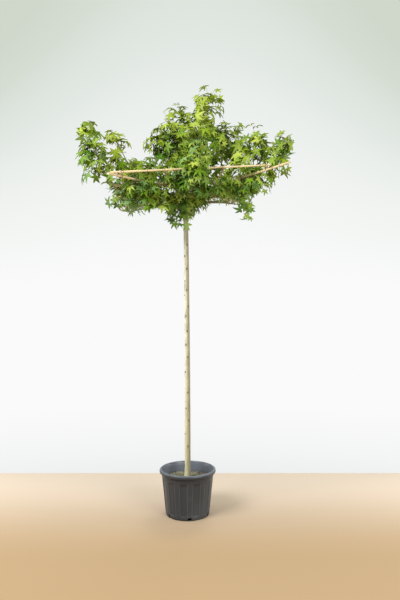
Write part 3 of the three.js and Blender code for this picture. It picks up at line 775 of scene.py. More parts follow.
@dataclass
class NurseryPot:
    """A tapered moulded pot with a rolled lip, a plain collar, upright ribs and drain slots at its foot.

    The wall runs from foot_radius at the ground to wall_top_radius under the lip. The ribs stand rib_rise out
    of it between rib_foot and rib_top, and the recesses between them lie back by recess.
    """

    height: float = 0.400
    rim_radius: float = 0.250
    wall_top_radius: float = 0.228
    foot_radius: float = 0.190
    wall: float = 0.004
    lip_depth: float = 0.036
    ribs: int = 12
    rib_width_deg: float = 14.0
    rib_slope_deg: float = 1.0
    rib_rise: float = 0.003
    recess: float = 0.0025
    rib_foot: float = 0.034
    rib_top: float = 0.318
    drains: int = 6
    drain_turn_deg: float = 37.0
    drain_half_deg: float = 4.5
    drain_low: float = 0.003
    drain_high: float = 0.025

    def radius(self, height: Values) -> Values:
        """Returns the wall's outer radius at a height, without ribs."""
        share = height / (self.height - self.lip_depth)
        return self.foot_radius + (self.wall_top_radius - self.foot_radius) * share

    def _profile(self) -> np.ndarray:
        """Returns radius and height of each row: up the outside, over the lip and down the inside."""
        lip, rim, top = self.height - self.lip_depth, self.rim_radius, self.height
        wall = [0.0, self.drain_low, self.drain_high, self.rib_foot, self.rib_foot + 0.003]
        wall += [*np.linspace(self.rib_foot + 0.006, self.rib_top, 14), self.rib_top + 0.003]
        wall += [self.rib_top + 0.006, lip - 0.002]
        outside = [(self.radius(z), z) for z in wall]
        outside[0] = (self.radius(0) - 0.004, 0.0)
        under = [(self.radius(lip) + 0.002, lip), (rim - 0.009, lip + 0.001)]
        turn = np.linspace(-0.5 * math.pi, 0.5 * math.pi, 9)
        middle, belly = lip + self.lip_depth / 2, self.lip_depth / 2 - 0.004
        bulge = [(rim - 0.006 + 0.006 * math.cos(a), middle + belly * math.sin(a)) for a in turn]
        crown = [(rim - 0.009, top - 0.001), (rim - 0.013, top)]
        crown += [(rim - 0.017, top - 0.001), (rim - 0.020, top - 0.006)]
        inside = [(self.radius(lip) - self.wall + 0.002, lip + 0.012)]
        down = (lip, self.rib_top, 0.16, self.drain_high, self.drain_low + 0.006)
        inside += [(self.radius(z) - self.wall, z) for z in down]
        return np.array(outside + under + bulge + crown + inside)

    def _slots(self, index: np.ndarray) -> tuple[np.ndarray, list[np.ndarray], np.ndarray]:
        """Opens the drain slots through the wall's lowest rows and lines them.

        Args:
            index: Numbers of the shell's points, by rows and columns.

        Returns:
            Which of the shell's quads stay, the linings' faces, and 1 at the points of the slots' mouths.
        """
        columns = index.shape[1]
        keep = np.ones(index.shape, bool)
        keep[-1] = False
        mouths = np.zeros(index.shape)
        linings = []
        outer, inner = 1, len(index) - 2
        low_out, high_out, low_in, high_in = index[outer], index[outer + 1], index[inner + 1], index[inner]
        for drain in range(self.drains):
            middle = self.drain_turn_deg + 360 * drain / self.drains
            cells = (np.arange(middle - self.drain_half_deg, middle + self.drain_half_deg) % 360).astype(int)
            ahead = (cells + 1) % columns
            keep[outer, cells] = False
            keep[inner, cells] = False
            mouths[outer : outer + 2, np.append(cells, ahead[-1])] = 1
            sill = [low_out[cells], low_in[cells], low_in[ahead], low_out[ahead]]
            head = [high_out[cells], high_in[cells], high_in[ahead], high_out[ahead]]
            linings += [np.stack(sill, axis=-1)[:, ::-1], np.stack(head, axis=-1)]
            for column, order in ((cells[0], -1), (ahead[-1], 1)):
                jamb = [row[column] for row in (low_out, high_out, high_in, low_in)]
                linings.append(np.array([jamb])[:, ::order])
        return keep, linings, mouths

    def surface(self) -> Surface:
        """Lathes the profile, lifts the ribs, opens the slots and closes the foot with its floor.

        The recesses between the ribs are a smooth step in turn, times a smooth step in height.

        Returns:
            The pot's closed skin, with its dust and where its painted light and painted shade lie.
        """
        profile = self._profile()
        height = profile[:, 1]
        turns = np.radians(np.arange(360.0))
        half = self.rib_width_deg / 2
        off_rib = np.abs(np.degrees(turns) % (360 / self.ribs) - half)
        across = 1 - smoothstep(half - self.rib_slope_deg, half + self.rib_slope_deg, off_rib)
        lip = self.height - self.lip_depth
        rows = np.arange(len(profile))
        outer = (rows > 0) & (rows < int(np.argmax(height > lip - 0.001)))
        up = smoothstep(self.rib_foot, self.rib_foot + 0.006, height)
        up *= 1 - smoothstep(self.rib_top, self.rib_top + 0.004, height)
        sunk = np.outer(up, 1 - across)
        shell = lathe(profile, turns, (self.rib_rise * (1 - sunk) - self.recess * sunk) * outer[:, None])
        index = np.arange(sunk.size).reshape(sunk.shape)
        keep, linings, mouths = self._slots(index)
        heights = shell.points[:, 2]
        inner = np.repeat(rows >= len(profile) - 6, len(turns))
        # Painted shade under the lip's overhang.
        under_lip_shade = smoothstep(lip - 0.030, lip, heights) * (heights < lip + 0.0015)
        ledges = np.minimum(np.abs(height - self.rib_top), np.abs(height - self.rib_foot - 0.003))
        # Bells at the ribs' edges: painted shade on the recess side, a painted highlight on the rib side.
        corner, edge = (np.exp(-(((off_rib - half + side) / 0.8) ** 2)) for side in (-1, 1))
        # Painted shade lines along the recesses' top and foot ledges and in their corners.
        recess_shade = np.outer(outer * (ledges < 0.006), 0.8 * (1 - across))
        recess_shade = np.maximum(recess_shade, np.outer(up * outer, 0.7 * corner)).ravel()
        # Painted highlight lines along the ribs' edges.
        edge_sheen = np.outer(up * outer, 0.3 * edge).ravel()
        # Painted highlight on the top of the rim.
        rim = 0.75 * smoothstep(self.height - 0.014, self.height - 0.002, heights)
        # Inside, the upper wall gets painted light and the lower wall painted shade.
        bright = inner & (heights > self.height / 2)
        values = {
            "dust": 0.12 * (1 - smoothstep(0.0, 0.09, heights)) * ~inner,
            # Painted light: the upper inside, the rim's top and the ribs' edges.
            "faded": np.maximum.reduce([0.9 * bright, rim, edge_sheen]),
            # Painted shade: the lower inside, under the lip, the ledges and corners, and the slot mouths.
            "grime": np.where(inner, ~bright, np.maximum.reduce([0.75 * under_lip_shade, recess_shade, mouths.ravel()])),
        }
        faces = [shell.faces[0][keep.ravel()], *linings, index[-1][None, :], index[0][None, ::-1]]
        return Surface(shell.points, faces, values)

    def build(self) -> None:
        """Makes the pot."""
        finish = PotFinish(
            "pot_plastic",
            plastic=(0.029, 0.035, 0.043),
            scuff=(0.054, 0.062, 0.074),
            dust=(0.17, 0.16, 0.14),
            # The last two colours are painted light and painted shade.
            faded=(0.13, 0.145, 0.175),
            grime=(0.014, 0.015, 0.017),
        )
        piece("nursery_pot", self.surface(), finish.make(), ["pot"])


@dataclass
class Compost:
    """The rooted compost that fills the pot: crumbly on top and a little lower towards the wall.

    Its side is drawn in by drawn_in below drain_clear, so that the slots open on a hollow.
    """

    pot: NurseryPot
    level: float = 0.318
    foot: float = 0.0083
    drawn_in: float = 0.045
    drain_clear: float = 0.030
    fit: float = 0.0008
    reach: float = 0.22
    rings: int = 60
    columns: int = 180
    edge_drop: float = 0.007
    crumb_height: float = 0.005
    chips: int = 260
    chip_half_long: tuple[float, float] = (0.004, 0.013)
    chip_half_wide: tuple[float, float] = (0.002, 0.005)
    chip_half_thick: float = 0.0012
    chip_tilt: float = 0.3
    chip_top: float = 0.7
    litter_from: float = 0.05
    litter_wide: float = 0.155

    def _top(self, x: np.ndarray, y: np.ndarray) -> np.ndarray:
        """Works out the height of the top: level, less a dip to the wall, plus seeded crumbs.

        Args:
            x: Places along X.
            y: Places along Y.

        Returns:
            A height for each place.
        """
        away = np.hypot(x, y) / self.reach
        places = np.stack([x, y], axis=-1)
        crumbs = ripple(places, 0.05, 5, 4) + 0.7 * ripple(places, 0.012, 9, 3)
        calm = smoothstep(0.12, 0.3, away)
        return self.level - self.edge_drop * away**2 + self.crumb_height * calm * (crumbs - 0.6)

    def surface(self) -> Surface:
        """Returns the block, built as rings: up the hidden side, then inwards over the top."""
        edge = self.pot.radius(self.level) - self.pot.wall - self.fit
        foot = self.pot.radius(self.foot) - self.pot.wall - self.drawn_in
        over = self.pot.radius(self.drain_clear) - self.pot.wall - self.fit
        turns = np.linspace(0, 2 * math.pi, self.columns, endpoint=False)
        radii = np.concatenate([[foot, foot, over], edge * np.linspace(1, 0.02, self.rings)])
        x, y = np.moveaxis(circle(turns, radii[:, None]), -1, 0)
        z = self._top(x, y)
        z[:3] = np.array([self.foot, self.drain_clear - 0.004, self.drain_clear])[:, None]
        return Surface(np.stack([x, y, z], axis=-1).reshape(-1, 3), wrapped(*x.shape))

    def litter(self) -> Surface:
        """Returns small bark chips scattered over the top: boxes with slanted ends, turned by chance."""
        chance = np.random.default_rng(31)
        away = self.litter_from + self.litter_wide * np.sqrt(chance.random(self.chips))
        turn = chance.random(self.chips) * 2 * math.pi
        places = circle(turn, away)
        long = chance.uniform(*self.chip_half_long, self.chips)[:, None]
        wide = chance.uniform(*self.chip_half_wide, self.chips)[:, None]
        spin = chance.random(self.chips) * math.pi
        tilt = chance.uniform(-self.chip_tilt, self.chip_tilt, self.chips)
        along = unit(np.column_stack([circle(spin), tilt]))
        across = unit(np.cross(UP, along))
        lift = np.cross(along, across)
        corner = np.array([[i, j, k] for k in (-1, 1) for j in (-1, 1) for i in (-1, 1)], float)
        corner[4:, :2] *= self.chip_top
        middle = np.column_stack([places, self._top(places[:, 0], places[:, 1]) + 0.001])
        points = middle[:, None] + corner[None, :, :1] * (along * long)[:, None]
        points = points + corner[None, :, 1:2] * (across * wide)[:, None]
        points = points + corner[None, :, 2:] * (lift * self.chip_half_thick)[:, None]
        box = np.array([[0, 2, 3, 1], [4, 5, 7, 6], [0, 1, 5, 4], [2, 6, 7, 3], [0, 4, 6, 2], [1, 3, 7, 5]])
        faces = (box[None] + 8 * np.arange(self.chips)[:, None, None]).reshape(-1, 4)
        return Surface(points.reshape(-1, 3), [faces])

    def build(self) -> None:
        """Makes the compost and its litter."""
        earth = EarthFinish(
            "compost",
            crumb=(0.07, 0.055, 0.04),
            fibre=(0.2, 0.16, 0.12),
            grit=(0.42, 0.40, 0.34),
            moss=(0.13, 0.15, 0.06),
        )
        chips = EarthFinish(
            "bark_chips",
            crumb=(0.3, 0.26, 0.2),
            fibre=(0.44, 0.40, 0.32),
            grit=(0.6, 0.58, 0.52),
            moss=(0.26, 0.24, 0.14),
        )
        piece("compost_block", self.surface(), earth.make(), ["soil"])
        piece("compost_litter", self.litter(), chips.make(), [], smooth=False)


# ---- Trunk ----


@dataclass
class Trunk:
    """The clear stem: a flared foot, a slight lean and old side-shoot scars.

    It stands at ground and is drawn from foot, a hair above it. Its clear part ends at head, and its tip is
    hidden in the crown. The lean is how far the head stands off the foot, along X.
    """

    ground: float = 0.318
    foot: float = 0.3183
    head: float = 2.660
    tip: float = 2.950
    lean: float = -0.017
    flare_radius: float = 0.032
    base_radius: float = 0.0265
    head_radius: float = 0.021
    tip_radius: float = 0.011
    flare_height: float = 0.09
    columns: int = 48
    step: float = 0.004
    scar_heights: tuple[float, ...] = (
        0.60, 0.707, 0.83, 0.935, 1.077, 1.257, 1.39, 1.50, 1.62,
        1.754, 1.838, 1.94, 1.985, 2.065, 2.175, 2.287, 2.387,
    )  # fmt: skip
    scar_half: float = 0.008
    scar_tall: tuple[float, float] = (0.008, 0.014)
    scar_rise: float = 0.0016
    lip_rise: float = 0.0012
    ripple_rise: float = 0.0007
    flute_rise: float = 0.0022
    flute_height: float = 0.12
    # Turn of the painted shade on the trunk's right side.
    aged_turn: float = 0.25

    def axis(self, height: Values) -> np.ndarray:
        """Returns the axis at a height: the lean grows with the square of the share climbed."""
        height = np.asarray(height, float)
        share = (height - self.ground) / (self.head - self.ground)
        return np.stack([self.lean * share**2, np.zeros_like(height), height], axis=-1)

    def radius(self, height: Values) -> np.ndarray:
        """Works out the radius: a straight taper, with a squared flare near the foot.

        Args:
            height: Height above the floor.

        Returns:
            The radius there.
        """
        height = np.asarray(height, float)
        share = (height - self.ground) / (self.head - self.ground)
        flare = np.clip(1 - (height - self.ground) / self.flare_height, 0, None) ** 2
        lower = self.base_radius + (self.head_radius - self.base_radius) * share
        lower = lower + (self.flare_radius - self.base_radius) * flare
        over = (height - self.head) / (self.tip - self.head)
        upper = self.head_radius + (self.tip_radius - self.head_radius) * over
        return np.where(height > self.head, upper, lower)

    def surface(self) -> Surface:
        """Wraps a grid of turn and height round the axis, with ripples, collars and scars in its radius.

        Returns:
            The closed skin, with "scar" darkening the scars, "mossy" greening the lower stem and painted
            shade browning its right side.
        """
        heights = np.linspace(self.foot, self.tip, int((self.tip - self.foot) / self.step))
        turns = np.linspace(0, 2 * math.pi, self.columns, endpoint=False)
        turn, height = np.meshgrid(turns, heights)
        radius = self.radius(height)
        places = np.stack([np.cos(turn) * 0.05, np.sin(turn) * 0.05, height * 0.25], axis=-1)
        relief = self.ripple_rise * ripple(places, 0.05, 3, 4)
        low = np.clip(1 - (height - self.foot) / self.flute_height, 0, 1)
        flutes = self.flute_rise * np.cos(5 * turn + 0.6) * low**2
        chance = np.random.default_rng(12)
        scar = np.zeros_like(radius)
        for i, level in enumerate(self.scar_heights):
            side = -0.5 * math.pi + (-0.75 if i % 2 else 0.35) + chance.uniform(-0.35, 0.35)
            tall = chance.uniform(*self.scar_tall)
            way = ((turn - side + math.pi) % (2 * math.pi) - math.pi) * self.base_radius / self.scar_half
            near = np.exp(-(way**2) - ((height - level) / tall) ** 2)
            lip = np.exp(-((np.hypot(way, (height - level) / tall) - 1) ** 2) / 0.12)
            relief += self.scar_rise * near + self.lip_rise * lip
            scar = np.maximum(scar, smoothstep(0.2, 0.75, near) * chance.uniform(0.7, 1.0))
        axis = self.axis(height)
        away = radius + np.clip(relief, -0.0015, 0.003) + flutes
        points = axis + np.stack([away * np.cos(turn), away * np.sin(turn), np.zeros_like(away)], axis=-1)
        mossy = 0.7 * (1 - smoothstep(0.6, 1.5, height + 0.25 * ripple(places, 0.08, 8, 2)))
        # Painted shade: the bark darkens towards its right side, away from the light, with a ripple along its
        # edge.
        rightwards = np.cos(turn + self.aged_turn)
        aged = 0.9 * smoothstep(-0.75, 1.0, rightwards + 0.25 * ripple(places, 0.03, 14, 3))
        values = {"scar": scar.ravel(), "mossy": mossy.ravel(), "aged": aged.ravel()}
        return Surface(points.reshape(-1, 3), wrapped(*turn.shape), values)

    def build(self) -> None:
        """Makes the trunk."""
        bark = BarkFinish(
            "trunk_bark",
            light=(0.75, 0.72, 0.56),
            dark=(0.20, 0.175, 0.10),
            scar=(0.07, 0.055, 0.035),
            olive=(0.56, 0.53, 0.29),
        )
        piece("trunk_stem", self.surface(), bark.make(), ["trunk"])


# ---- Frame of canes ----


@dataclass
class CaneFrame:
    """Bamboo canes tied in a square grid with two bowed diagonals below, where the head is trained.

    The layers touch: each side cane lies one radius of its own and one of the cross cane's below the cross
    canes, and each diagonal as far below the side canes. The frame has its own axes across, back and up. The
    outer canes lie half from its centre and run on past each other, and all taper from their thick ends.
    """

    trunk: Trunk
    height: float = 2.897
    turn_deg: float = 6.0
    tilt_deg: float = 4.5
    half: float = 0.570
    inner: float = 0.225
    inner_cross: float = 0.190
    overhang: float = 0.070
    diagonal_overhang: float = 0.170
    cross_ends: tuple[float, float] = (-0.652, 0.606)
    diagonal_ends: tuple[tuple[float, float], ...] = ((-0.661, 0.690), (-0.713, 0.625))
    cross_thick: float = 0.0085
    side_thick: float = 0.0075
    diagonal_thick: float = 0.009
    taper: float = 0.78
    gap: float = 0.0003
    joint_apart: tuple[float, float] = (0.14, 0.2)
    joint_swell: float = 0.11
    joint_half: float = 0.0035
    joint_rows: tuple[float, ...] = (-0.006, -0.002, 0.0, 0.002, 0.006)
    joint_start: float = 0.08
    most_joints: int = 12
    bore_share: float = 0.55
    bore_depth: float = 0.012
    end_share: float = 0.94
    sides: int = 14

    def __post_init__(self) -> None:
        """Works out the frame's axes and centre."""
        turn = math.radians(self.turn_deg)
        self.across = unit(np.array([math.cos(turn), math.sin(turn), math.tan(math.radians(self.tilt_deg))]))
        self.back = np.array([-math.sin(turn), math.cos(turn), 0.0])
        self.up = unit(np.cross(self.across, self.back))
        self.reach = self.half + self.overhang
        self.far_reach = self.half + self.diagonal_overhang / math.sqrt(2)
        self.sag = 2 * self.diagonal_radius(0) + self.gap
        drop = float(self.diagonal_drop(0, 0) + self.sag)
        beside = float(self.trunk.radius(self.height - drop) + self.diagonal_radius(0) + self.gap)
        flat = np.array([math.cos(turn), math.sin(turn), 0.0])
        self.centre = self.trunk.axis(self.height - drop) + flat * beside * math.sqrt(2) + self.up * drop

    def _cane_radius(self, thick: float, place: Values, reach: float) -> Values:
        """Returns a straight taper from the thick end."""
        return thick * (1 + (self.taper - 1) * (place + reach) / (2 * reach))

    def cross_radius(self, across: Values) -> Values:
        """Returns a cross cane's radius at a place along it."""
        return self._cane_radius(self.cross_thick, across, self.reach)

    def side_radius(self, back: Values) -> Values:
        """Returns a side cane's radius at a place along it."""
        return self._cane_radius(self.side_thick, back, self.reach)

    def diagonal_radius(self, place: Values) -> Values:
        """Returns a diagonal's radius at a place along it."""
        return self._cane_radius(self.diagonal_thick, place, self.far_reach)

    def side_drop(self, across: Values, back: Values) -> Values:
        """Returns how far a side cane's axis lies below the cross canes'."""
        return self.cross_radius(across) + self.gap + self.side_radius(back)

    def diagonal_drop(self, across: Values, place: Values) -> Values:
        """Returns how far a diagonal's axis lies below the cross canes'."""
        below = self.side_radius(place) + self.gap + self.diagonal_radius(place)
        return self.side_drop(across, place) + below

    def point(self, across: Values, back: Values, up: Values = 0.0) -> np.ndarray:
        """Returns a place in the frame from its coordinates across, back and up."""
        across, back, up = (np.asarray(v, float)[..., None] for v in np.broadcast_arrays(across, back, up))
        return self.centre + across * self.across + back * self.back + up * self.up

    def local(self, points: np.ndarray) -> np.ndarray:
        """Returns the frame coordinates of points."""
        return (points - self.centre) @ np.stack([self.across, self.back, self.up], axis=1)

    def cross_places(self) -> list[float]:
        """Returns where the cross canes lie, front to back."""
        return [-self.half, -self.inner_cross, self.inner_cross, self.half]

    def side_places(self) -> list[float]:
        """Returns where the side canes lie, left to right."""
        return [-self.half, -self.inner, self.inner, self.half]

    def paths(self, steps: int = 90) -> dict[str, tuple[np.ndarray, np.ndarray]]:
        """Works out the axis of each cane and its radius.

        Args:
            steps: How many points each axis has.

        Returns:
            Points and radii by the solid's name.
        """
        found = {}
        run = np.linspace(*self.cross_ends, steps)
        for i, back in enumerate(self.cross_places()):
            found[f"cross_cane_{i + 1}"] = (self.point(run, back), self.cross_radius(run))
        run = np.linspace(-self.reach, self.reach, steps)
        for i, across in enumerate(self.side_places()):
            path = self.point(across, run, -self.side_drop(across, run))
            found[f"side_cane_{i + 1}"] = (path, self.side_radius(run))
        for i, hand in enumerate((1, -1)):
            far = np.linspace(*self.diagonal_ends[i], steps)
            drop = self.diagonal_drop(hand * far, far) + i * self.sag * (1 - (far / self.far_reach) ** 2)
            found[f"diagonal_cane_{i + 1}"] = (self.point(hand * far, far, -drop), self.diagonal_radius(far))
        return found

    def _cane(self, path: np.ndarray, radius: np.ndarray, seed: int) -> Surface:
        """Builds one hollow-ended cane: the radius swells at each joint, and each end turns in to a bore.

        The swelling is a sum of bell curves at joints a seeded distance apart.

        Args:
            path: Its axis.
            radius: Its radius at each point.
            seed: Picks where its joints are.

        Returns:
            The closed skin, with "joint" and "cut" marking the joints and ends.
        """
        chance = np.random.default_rng(seed)
        length = float(np.linalg.norm(path[-1] - path[0]))
        share = np.linspace(0, 1, 3 * len(path))
        joints = np.cumsum(chance.uniform(*self.joint_apart, self.most_joints)) - self.joint_start
        marks = joints[:, None] + np.array(self.joint_rows)
        inside = marks[(marks > 0.01) & (marks < length - 0.01)] / length
        share = np.unique(np.concatenate([share, inside]))
        even = np.linspace(0, 1, len(path))
        axis = between(share, even, path)
        thick = np.interp(share, even, radius)
        near = np.exp(-(((share[:, None] * length - joints) / self.joint_half) ** 2)).sum(axis=1)
        swell = thick * (1 + self.joint_swell * near)
        deep, bore = self.bore_depth, self.bore_share
        steps = [(deep, bore * 0.2), (deep, bore), (0.0, bore), (0.0, self.end_share)]
        tangent = unit(path[-1] - path[0])
        head = [axis[0] + tangent * depth for depth, _ in steps]
        tail = [axis[-1] - tangent * depth for depth, _ in steps[::-1]]
        axis = np.concatenate([head, axis, tail])
        rings = np.array([ring for _, ring in steps])
        swell = np.concatenate([thick[0] * rings, swell, thick[-1] * rings[::-1]])
        joint = np.clip(np.concatenate([[0] * 4, near, [0] * 4]), 0, 1)
        cut = np.concatenate([[0.2, 0.2, 1, 1], np.zeros(len(share)), [1, 1, 0.2, 0.2]])
        turn = np.linspace(0, 2 * math.pi, self.sides, endpoint=False)
        normal = unit(self.up - tangent * float(self.up @ tangent))
        ring = np.cos(turn)[:, None] * normal + np.sin(turn)[:, None] * np.cross(tangent, normal)
        points = axis[:, None] + swell[:, None, None] * ring
        turned = turn / (2 * math.pi) + chance.random()
        chart = np.stack(np.broadcast_arrays(turned, run_of(axis)[:, None]), axis=-1)
        values = {"joint": np.repeat(joint, self.sides), "cut": np.repeat(cut, self.sides)}
        return Surface(points.reshape(-1, 3), wrapped(len(axis), self.sides), values, chart.reshape(-1, 2))

    def build(self) -> None:
        """Makes the canes."""
        bamboo = CaneFinish(
            "bamboo",
            skin=(0.65, 0.53, 0.29),
            fibre=(0.55, 0.40, 0.21),
            joint=(0.34, 0.21, 0.11),
            cut=(0.8, 0.68, 0.48),
        )
        material = bamboo.make()
        for i, (name, (path, radius)) in enumerate(self.paths().items()):
            piece(f"bamboo_{name}", self._cane(path, radius, 40 + i), material, [name])


@dataclass
class Ties:
    """Twine lashings: crossed loops round each pair of canes that touch."""

    canes: CaneFrame
    twine: float = 0.0011
    wraps: int = 3

    def _loops(
        self, place: np.ndarray, first: np.ndarray, second: np.ndarray, reach: tuple[float, float]
    ) -> np.ndarray:
        """Works out closed loops round a crossing: a rounded box in the plane of a bisector and the normal.

        Args:
            place: The crossing, between the two canes.
            first: Direction of the upper cane.
            second: Direction of the lower cane.
            reach: The canes' radii, upper and lower.

        Returns:
            Points shaped (loops, steps, 3).
        """
        turn = np.linspace(0, 2 * math.pi, 33)
        cosine, sine = np.cos(turn), np.sin(turn)
        normal = unit(np.cross(first, second))
        normal = normal if normal[2] > 0 else -normal
        upper, lower = reach
        rounded = np.sign(cosine) * np.abs(cosine) ** 0.7
        tall = np.where(sine > 0, 2 * upper, 2 * lower) + 1.2 * self.twine
        found = []
        for hand in (1, -1):
            way = unit(first + hand * second)
            aside = np.cross(normal, way)
            for wrap in range(self.wraps):
                shift = (wrap - (self.wraps - 1) / 2) * 2.1 * self.twine
                lift = tall * np.sign(sine) * np.abs(sine) ** 0.7 + hand * 0.3 * self.twine
                wide = 1.32 * max(upper, lower) + self.twine
                found.append(place + shift * aside + np.outer(rounded * wide, way) + np.outer(lift, normal))
        return np.array(found)

    def surface(self) -> Surface:
        """Returns the loops round every crossing of the frame, as thin tubes."""
        canes = self.canes
        loops = []
        for back in canes.cross_places():
            for across in canes.side_places():
                upper, lower = canes.cross_radius(across), canes.side_radius(back)
                place = canes.point(across, back, -upper)
                loops.append(self._loops(place, canes.across, canes.back, (upper, lower)))
        for hand in (1, -1):
            way = unit(hand * canes.across + canes.back)
            for back in (-canes.half, canes.half):
                across = hand * back
                upper, lower = canes.side_radius(back), canes.diagonal_radius(back)
                place = canes.point(across, back, -canes.side_drop(across, back) - upper)
                loops.append(self._loops(place, canes.back, way, (upper, lower)))
        paths = np.concatenate(loops)
        return tubes(paths, np.full(paths.shape[:2], self.twine), 6)

    def build(self) -> None:
        """Makes the ties."""
        twine = TwineFinish("jute_twine", light=(0.34, 0.2, 0.11), dark=(0.18, 0.1, 0.055))
        piece("twine_ties", self.surface(), twine.make(), [])


# ---- Crown ----


class Stream:
    """The repeatable stream of numbers from 0 to 1 that the twigs of the solids grow by."""

    def __init__(self, seed: int) -> None:
        """Starts the stream."""
        self.state = seed & 0xFFFFFFFF

    def __call__(self) -> float:
        """Returns the next number."""
        self.state = (self.state + 0x6D2B79F5) & 0xFFFFFFFF
        t = self.state
        t = ((t ^ (t >> 15)) * (t | 1)) & 0xFFFFFFFF
        t ^= (t + (((t ^ (t >> 7)) * (t | 61)) & 0xFFFFFFFF)) & 0xFFFFFFFF
        return ((t ^ (t >> 14)) & 0xFFFFFFFF) / 4294967296


def catmull_rom(knots: np.ndarray, samples: int = 600) -> np.ndarray:
    """Runs a centripetal Catmull-Rom curve through knots and spaces its points evenly.

    Each span is a cubic whose end slopes come from the neighbours, weighted by the fourth root of the
    squared way between them. A mirrored knot stands before the first and after the last.

    Args:
        knots: The points it passes through.
        samples: How many even points are returned.

    Returns:
        Points along the curve, evenly spaced by length.
    """
    ends = np.concatenate([[2 * knots[0] - knots[1]], knots, [2 * knots[-1] - knots[-2]]])
    weights = np.sqrt(lengths(np.diff(ends, axis=0)))[:, None]
    share = np.linspace(0, 1, 160)[:, None]
    spans = []
    for i in range(len(knots) - 1):
        x0, x1, x2, x3 = ends[i : i + 4]
        d0, d1, d2 = weights[i : i + 3]
        t1 = ((x1 - x0) / d0 - (x2 - x0) / (d0 + d1) + (x2 - x1) / d1) * d1
        t2 = ((x2 - x1) / d1 - (x3 - x1) / (d1 + d2) + (x3 - x2) / d2) * d1
        c2 = -3 * x1 + 3 * x2 - 2 * t1 - t2
        c3 = 2 * x1 - 2 * x2 + t1 + t2
        spans.append((x1 + t1 * share + c2 * share**2 + c3 * share**3)[(0 if i == 0 else 1) :])
    points = np.concatenate(spans)
    run = run_of(points)
    return between(np.linspace(0, run[-1], samples), run, points)


@dataclass
class Mass:
    """One mass of foliage: an ellipsoid of its own, fed by one bough or by the trunk.

    Attributes:
        half: Its half sizes.
        leaves_at: The height where its bough leaves the trunk.
        via: Places in the frame that its bough passes through: across, back and up.
        radius: The bough's radius at the trunk.
        droop: How steeply its leaves hang, from 0 to 1.
        twigs: How many twigs the solid grows.
        youth: Share of young leaves, from 0 to 1.
        on_trunk: Whether its stem comes straight from the trunk.
        airy: From 0 to 1, how few and how large its leaves are.
        shoots: Tips of the longer shoots that break out of it, as shares of its half sizes from its middle.
        seed: Starts its streams of chance.
        planes: The planes that part it from its neighbours: normals, and how far from its middle they lie.
        curve: Even points along its bough and its stem.
        entry: The row of the curve where its bough has entered it.
    """

    name: str
    middle: np.ndarray
    half: np.ndarray
    leaves_at: float
    via: list[Place]
    radius: float
    droop: float
    twigs: int
    youth: float
    on_trunk: bool = False
    airy: float = 0.0
    shoots: tuple[Place, ...] = ()
    seed: int = 0
    planes: list[tuple[np.ndarray, float]] = field(default_factory=list)
    curve: np.ndarray | None = None
    entry: int = 0

    def extent(self, direction: np.ndarray) -> float:
        """Returns its half size along a direction."""
        return float(1 / np.linalg.norm(direction / self.half))

    def depth(self, points: np.ndarray) -> np.ndarray:
        """Returns 0 at the middle and 1 on the skin of the ellipsoid."""
        return lengths((points - self.middle) / self.half)

    def holds(self, points: np.ndarray, margin: float = 0.001) -> np.ndarray:
        """Says which points lie in its own space.

        Args:
            points: The points.
            margin: The room left to its neighbours' spaces.

        Returns:
            True for each point inside.
        """
        way = points - self.middle
        inside = self.depth(points) < 1
        for normal, limit in self.planes:
            inside &= way @ normal < limit - margin
        return inside

    def wood_radius(self, share: Values) -> Values:
        """Returns the radius of the bough and stem at a share of the whole curve."""
        return self.radius * (1 - 0.7 * share)


# Longer shoots for the roof's rear, as their masses' shoots are given.
REAR_SHOOTS = (
    (0.6, 0.3, 0.9), (-0.5, 0.5, 0.8), (0.1, -0.4, 1.2), (0.3, 0.85, 0.7), (-0.65, -0.4, 1.0),
    (0.75, -0.45, 0.9), (-0.1, 0.15, 1.35), (-0.85, 0.1, 0.7), (0.0, 0.6, 1.1), (0.9, 0.75, 0.6),
    (-0.8, 0.8, 0.6), (0.4, 0.0, 1.3),
)  # fmt: skip
# The shoots at the frame's edges: middle, half sizes, the height where the bough leaves the trunk, where it
# passes under the frame and at the edge, across and back, and how many twigs the solid grows.
EDGE_SHOOTS = {
    "left": ((-0.735, -0.44, 3.09), (0.16, 0.17, 0.235), 2.775, (-0.37, -0.23), (-0.64, -0.4), 11),
    "left_inner": ((-0.555, -0.29, 3.15), (0.145, 0.14, 0.145), 2.812, (-0.31, -0.11), (-0.44, -0.29), 7),
    "right_inner": ((0.59, -0.19, 3.165), (0.18, 0.19, 0.19), 2.818, (0.3, -0.1), (0.43, -0.27), 9),
    "right": ((0.775, -0.39, 3.1), (0.155, 0.17, 0.17), 2.792, (0.35, -0.23), (0.64, -0.4), 8),
    "back_left": ((-0.65, 0.43, 3.05), (0.18, 0.18, 0.19), 2.795, (-0.32, 0.24), (-0.64, 0.42), 8),
    "back_right": ((0.6, 0.48, 3.11), (0.18, 0.18, 0.19), 2.77, (0.3, 0.2), (0.64, 0.4), 8),
}
